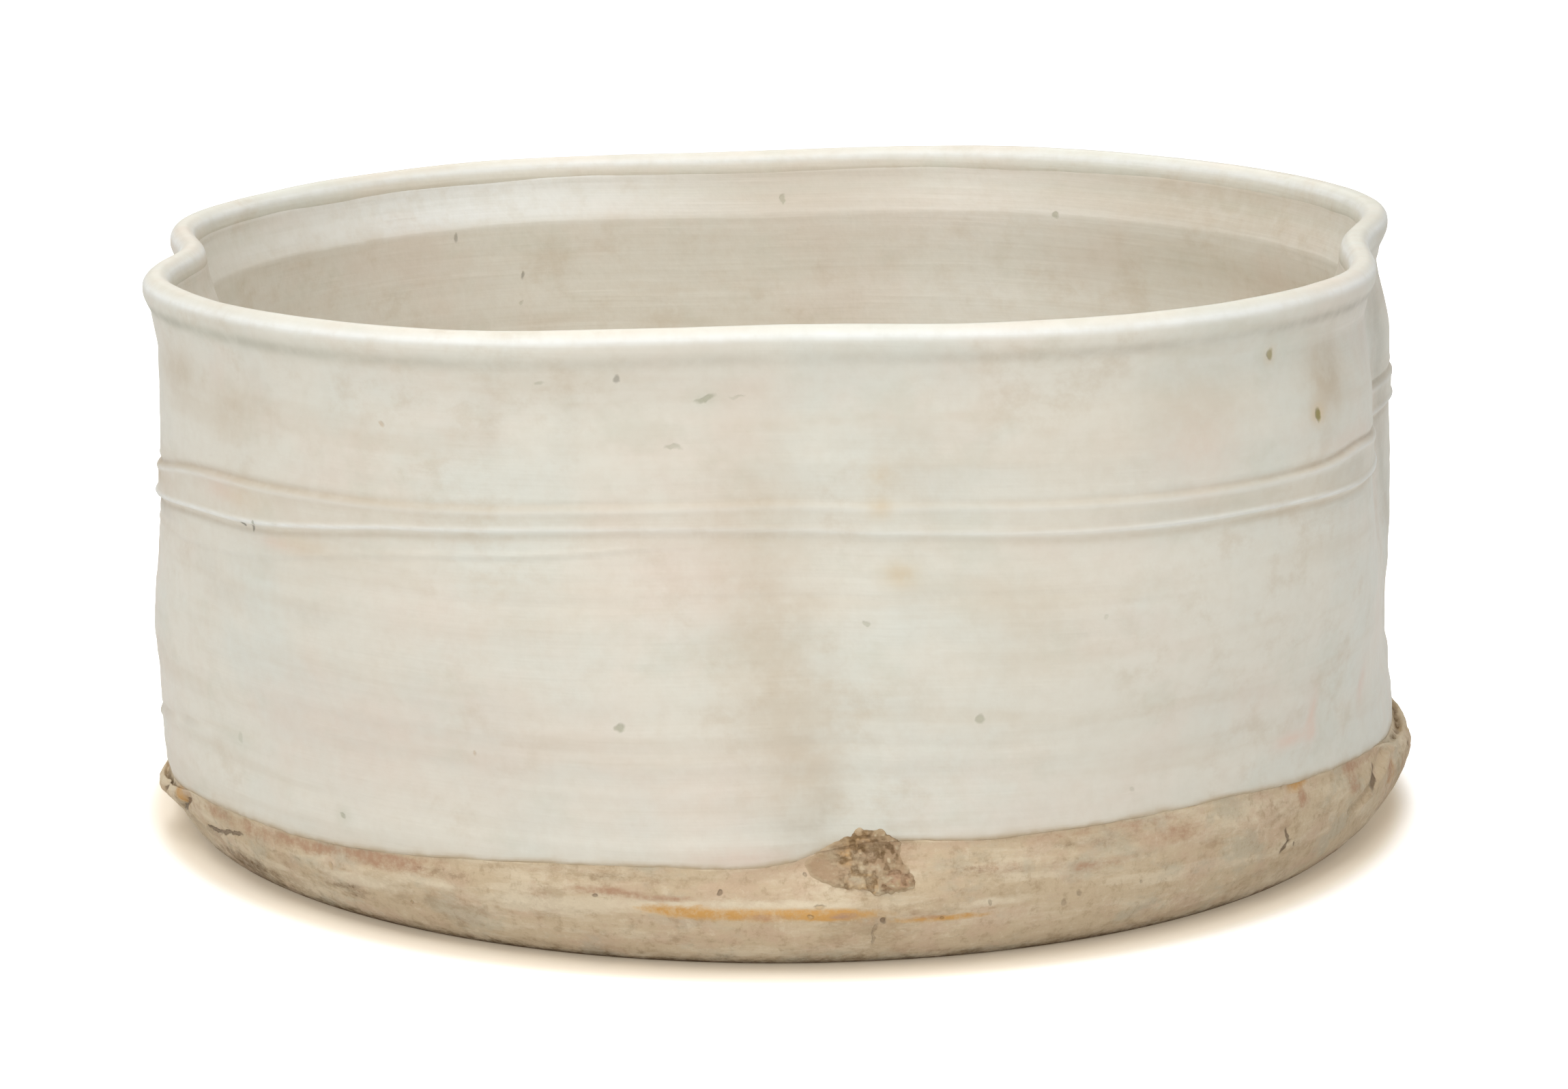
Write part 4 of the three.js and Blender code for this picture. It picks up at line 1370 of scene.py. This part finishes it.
@dataclass
class RoughDab:
    """The rough patch of clay under the front crease: a ragged, granular scab on the base's edge."""

    angle: float = 277.0
    height: float = 24.4
    outline: Knots = (
        (0, 10), (30, 9.3), (59, 7.9), (90, 6.3), (128, 6.6), (165, 8.9), (186, 12.4), (212, 8.4),
        (270, 5.6), (318, 9.3), (341, 12.4),
    )
    thickness: float = 0.75
    sunk: float = 0.5
    spokes: int = 300
    rings: int = 84
    coarser: int = 6

    def build(self) -> Shell:
        """The scab, as rings round its middle: out over its rough face and back underneath.

        A ring's share of the way out sets the height of the dome. Its hem dips under the clay round
        it, so that the granular noise on it makes its visible outline ragged.
        """
        spoke = (np.arange(self.spokes) * FULL_TURN / self.spokes)[:, None]
        turn = np.radians(spoke)
        out = np.linspace(0.0, 1.0, self.rings)[None, :]
        reach = round_pot(spoke, self.outline) * (1.1 + 0.06 * level_relief(71, 60.0, spoke))
        across = reach * np.cos(turn) * out
        up = reach * np.sin(turn) * out
        arc = math.radians(POT.edge_radius)
        angle = self.angle + across / arc
        height = self.height + up
        line = GLAZE_LINE.height(angle)
        wall = POT.wall_radius(angle, height)
        pull = smooth_step(height, line - 7.0, line)
        edge_top = POT.edge_outline(angle, line, line)
        inset = POT.wall_radius(angle, line) - 0.3 - edge_top
        ground = np.where(height > line, wall, POT.edge_outline(angle, height, line) + inset * pull)
        coarse = smooth_step(across, -8.0, -2.0)
        grain = 0.34 * Noise(72, 1.5, 1.3).at(angle, height) + 0.32 * Noise(73, 0.9, 0.8).at(angle, height)
        grain += 0.2 * Noise(76, 0.55, 0.5).at(angle, height)
        lumps = 0.15 * relief(74, 5.0, 3.6, angle, height)
        dome = 1 - smooth_step(out, 0.74, 1.0)
        rough = grain * (0.3 + 0.7 * coarse) * (0.55 + 0.25 * dome)
        face = ground + self.thickness * dome - self.sunk * (1 - dome) + lumps + rough
        front, under = (np.stack([angle, radius, height], axis=-1) for radius in (face, ground - 2.0))
        both = np.concatenate([front, under[:, :: -self.coarser]], axis=1)
        for pole in (0, -1):
            both[:, pole] = both[:, pole].mean(axis=0)
        # Painted shade in the grain's hollows, where the grain noise is low.
        dark = np.clip(-2.4 * grain / 0.75 + 0.5, 0, 1) * (0.25 + 0.75 * coarse)
        red = bell(across, 8.0, 4.0) * bell(up, -3.6, 2.4) * np.clip(0.8 - 2.0 * grain, 0, 1)
        plain = smooth_step(out, 0.72, 0.98) * np.ones_like(spoke)
        # Painted highlights on the grain's tops, where the grain noise is high.
        light = np.clip(2.6 * grain - 0.4, 0, 1) * coarse
        warm = np.clip(0.7 * relief(75, 4.0, 3.0, angle, height), 0, 0.26) * coarse
        values = {
            Tint.FLASH: red,
            Tint.OCHRE: warm,
            Tint.SHADE: 0.5 * dark,
            Tint.PALE: 0.8 * light,
            Tint.CLAY: plain * (1.1 - 0.5 * coarse),
        }
        for tint, value in values.items():
            values[tint] = np.concatenate([value, value[:, :: -self.coarser]], axis=1)
        return Shell("bowl_rough_dab", POT.place_freely(both), True, values)


@dataclass
class Studio:
    """The pale floor, the soft lights, the world and the camera at the photograph's angle."""

    eye: Point = (0.00166, -1.0452, 0.2986)
    pitch: float = 12.8
    lens: float = 99.52
    sensor: float = 36.0
    sight: float = 60.0
    floor_reach: float = 14.0
    floor_colour: float = 0.8
    # Painted shadow: the floor's cream colour for the camera in a ring round the bowl, out to the ring's
    # reach. In the ring, shadow_glow is painted light that lifts and warms the real shadow.
    shadow_ring_colour: Colour = (0.79, 0.745, 0.66)
    shadow_glow: Colour = (0.22, 0.175, 0.12)
    floor_glow: float = 0.5
    shadow_ring: tuple[float, float] = (0.151, 0.162)
    shadow_ring_shift: Point = (0.0, 0.002, 0.0)
    ambient: float = 0.37
    lamps: tuple[tuple[str, Point, Point, float, float, Colour], ...] = (
        ("overhead", (-0.2, -0.3, 2.1), (0.0, 0.0, 0.05), 1.9, 38.5, WHITE),
        ("back", (-0.3, 1.7, 1.7), (0.0, 0.0, 0.1), 0.9, 7.0, WHITE),
        ("front_left", (-1.0, -2.6, 1.3), (0.0, 0.0, 0.07), 1.3, 20.0, (1.0, 0.995, 0.985)),
        ("right", (1.7, -1.9, 1.0), (0.0, 0.0, 0.07), 1.0, 7.0, WHITE),
    )

    def floor(self) -> None:
        """Lays the floor, one large square, which keeps the bowl's shadow.

        What the camera sees of it is white, with painted shadow in warm cream in a ring round the bowl,
        where a warm glow also lifts the real shadow.
        """
        reach = self.floor_reach
        mesh = bpy.data.meshes.new("studio_floor")
        corners = [(-reach, -reach, 0.0), (reach, -reach, 0.0), (reach, reach, 0.0), (-reach, reach, 0.0)]
        mesh.from_pydata(corners, [], [(0, 1, 2, 3)])
        floor = add_object("studio_floor", mesh)
        graph = Graph(bpy.data.materials.new("pale_floor"))
        seen = graph.wire("ShaderNodeLightPath", output="Is Camera Ray")
        place = graph.vector("ADD", {0: graph.place(), 1: self.shadow_ring_shift})
        # The ring of painted shadow, and the warm glow in it, fade out between the ring's two radii.
        far = graph.vector("LENGTH", {0: place}).climb(*self.shadow_ring)
        colour = graph.blend(far, self.shadow_ring_colour, WHITE)
        inputs = {"Color": graph.blend(seen, (self.floor_colour,) * 3, colour)}
        lit = graph.wire("ShaderNodeBsdfDiffuse", None, inputs)
        bright = graph.blend(far, self.shadow_glow, (self.floor_glow,) * 3)
        glow = graph.wire("ShaderNodeEmission", None, {"Color": bright, "Strength": seen})
        shader = graph.wire("ShaderNodeAddShader", None, {0: lit, 1: glow})
        graph.node("ShaderNodeOutputMaterial", None, {"Surface": shader})
        mesh.materials.append(graph.owner)

    def lamp(self, name: str, place: Point, aim: Point, size: float, power: float, colour: Colour) -> None:
        """Hangs one square soft lamp, in metres and watts, and turns it to what it lights."""
        data = bpy.data.lights.new(name, "AREA")
        data.shape = "SQUARE"
        data.size = size
        data.energy = power
        data.color = colour
        lamp = add_object(name, data)
        lamp.location = place
        way = np.array(aim) - np.array(place)
        flat = math.hypot(way[0], way[1])
        lamp.rotation_euler = (math.atan2(flat, -way[2]), 0.0, math.atan2(way[1], way[0]) - math.pi / 2)

    def world(self) -> None:
        """Sets the world: white where the camera sees it, and a plain even light elsewhere."""
        graph = Graph(bpy.data.worlds.new("studio_world"))
        seen = graph.wire("ShaderNodeLightPath", output="Is Camera Ray")
        even, white = (
            graph.wire("ShaderNodeBackground", None, {"Color": (*WHITE, 1.0), "Strength": strength})
            for strength in (self.ambient, 1.0)
        )
        shader = graph.wire("ShaderNodeMixShader", None, {0: seen, 1: even, 2: white})
        graph.node("ShaderNodeOutputWorld", None, {"Surface": shader})
        bpy.context.scene.world = graph.owner

    def camera(self) -> None:
        """Places the camera where the photograph was taken from."""
        data = bpy.data.cameras.new("photograph_camera")
        data.lens = self.lens
        data.sensor_fit = "HORIZONTAL"
        data.sensor_width = self.sensor
        data.clip_end = self.sight
        camera = add_object("photograph_camera", data)
        camera.location = self.eye
        camera.rotation_euler = (math.radians(90.0 - self.pitch), 0.0, 0.0)
        bpy.context.scene.camera = camera

    def build(self) -> None:
        """Sets up the whole studio and the plain view settings."""
        self.floor()
        self.world()
        self.camera()
        for lamp in self.lamps:
            self.lamp(*lamp)
        bpy.context.scene.view_settings.view_transform = "Standard"


WALL_CLAY_NODES = ("lower_wall", "upper_wall", "rim_roll", "seam_coil")
OUTSIDE_MARKS = marks_on(
    Side.OUTSIDE,
    (220.5, 90.7, 0.75, 0.5, 20, PIT, 0.85), (221.9, 90.1, 0.4, 0.8, 10, PIT, 0.75),
    (222.3, 91.8, 0.4, 0.5, 0, OLIVE, 0.6), (236.8, 118.6, 0.75, 0.45, -50, RUST, 0.4),
    (263.8, 124.6, 2.1, 0.55, 24, OLIVE, 0.55), (266.5, 124.8, 1.4, 0.3, 4, OLIVE, 0.25),
    (261, 114.7, 1.7, 0.5, -6, OLIVE, 0.4), (256.4, 129.6, 0.6, 0.8, 0, PIT, 0.5),
    (250.1, 128.8, 0.9, 0.5, 0, OLIVE, 0.35), (257.3, 54.9, 1, 0.9, 10, OLIVE, 0.6),
    (286.8, 55.1, 0.75, 0.9, 0, OLIVE, 0.5), (277.7, 76.2, 0.6, 0.6, 0, OLIVE, 0.35),
    (314, 127.3, 0.8, 1.2, 20, MUSTARD, 0.65), (319.3, 112.3, 0.8, 1.3, 0, MUSTARD, 0.9),
    (231.2, 27, 0.7, 0.6, 0, OLIVE, 0.5), (217.5, 38, 0.9, 1, 60, OLIVE, 0.25),
    (245, 47, 0.4, 0.5, 0, RUST, 0.4), (297, 76, 0.6, 0.5, 0, OLIVE, 0.25),
    (300.5, 36, 0.6, 0.5, 0, OLIVE, 0.25),
)
INSIDE_MARKS = marks_on(
    Side.INSIDE,
    (118.6, 108.4, 0.45, 1.1, 0, PIT, 0.55), (126.1, 120.4, 0.45, 1.2, 0, PIT, 0.5),
    (59.4, 122.8, 0.7, 0.9, 0, OLIVE, 0.5), (89.5, 127, 0.5, 1.4, 0, OLIVE, 0.45),
    (118.8, 101, 0.5, 0.6, 0, OLIVE, 0.3),
)
BASE_MARKS = (
    *crack(((209.0, 10.5), (211.9, 11.2), (214.2, 12.9), (216.3, 13.8)), 0.4, HOLE, 0.7),
    *crack(((318.6, 17.6), (319.2, 14.6), (318.3, 12.9)), 0.45, HOLE, 0.75),
    *crack(((278.2, 10.8), (277.9, 9.2), (278.0, 6.2)), 0.3, HOLE, 0.3),
    *crack(((205.4, 15.0), (203.4, 12.6), (201.4, 9.8)), 0.6, HOLE, 0.75),
    *crack(((199.2, 14.4), (198.0, 12.0)), 0.55, HOLE, 0.7),
    *crack(((336.2, 21.4), (335.9, 19.2), (334.9, 17.0)), 0.65, HOLE, 0.85),
    *marks_on(
        Side.BASE,
        (319.8, 13.5, 0.4, 0.5, 0, HOLE, 0.6), (278.6, 12.4, 0.65, 0.65, 0, HOLE, 0.75),
        (265.4, 18.7, 0.45, 0.45, 0, HOLE, 0.6), (272.4, 22, 0.45, 0.4, 0, HOLE, 0.4),
        (273.6, 15.6, 0.9, 0.5, 0, RUST, 0.6), (287.6, 14.8, 0.4, 0.6, 0, HOLE, 0.4),
        (283.5, 12, 0.5, 0.4, 0, HOLE, 0.4), (272.8, 13.6, 0.5, 0.45, 0, RUST, 0.6),
        (295.5, 14.4, 0.5, 0.8, 30, HOLE, 0.4), (294.2, 12.8, 0.7, 0.7, 0, HOLE, 0.35),
        (255.3, 17.4, 0.45, 0.4, 0, HOLE, 0.6), (301.5, 14.5, 0.5, 0.5, 0, HOLE, 0.3),
        (238, 9.6, 0.4, 0.4, 0, RUST, 0.6), (229.5, 14.3, 0.6, 0.9, 10, RUST, 0.4),
    ),
)


def dress(shell: Shell, material: bpy.types.Material, node: str) -> None:
    """Makes one piece, gives it its finish and puts it in the place of a node.

    Args:
        shell: the piece's surface.
        material: its finish.
        node: the node that it stands for.
    """
    piece = shell.make()
    piece.data.materials.append(material)
    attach(piece, "root")
    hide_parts(node)
    LOG.info("%s: %d faces, stands for %s", piece.name, len(piece.data.polygons), node)


def main() -> None:
    """Builds the bowl's pieces in order, dresses the hidden clay, and sets up the studio."""
    logging.basicConfig(level=logging.INFO, format="%(name)s: %(message)s")
    outside = GlazeFinish("milky_glaze_outside", marks=OUTSIDE_MARKS).material()
    warm = {"colour": (0.72, 0.685, 0.6), "cool": (0.7, 0.67, 0.59)}
    inside = GlazeFinish("milky_glaze_inside", marks=INSIDE_MARKS, **warm).material()
    bare = ClayFinish("toasted_bare_clay", marks=BASE_MARKS).material()
    dark = {"colour": (0.35, 0.25, 0.14), "pale": (0.52, 0.42, 0.28), "rose": (0.4, 0.26, 0.16)}
    rough = ClayFinish("rough_pitted_clay", grit=1.6, **dark).material()
    wall = ClayFinish("fired_wall_clay", stains=False).material()
    dress(OuterGlaze().build(), outside, "outer_glaze")
    dress(InnerGlaze().build(), inside, "inner_glaze")
    dress(FootBase().build(), bare, "base_slab")
    dress(RoughDab().build(), rough, "seam_dab")
    for name in WALL_CLAY_NODES:
        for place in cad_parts[name].material_slots:
            place.material = wall
        LOG.info("%s: dressed in %s", name, wall.name)
    Studio().build()


if __name__ == "__main__":
    main()
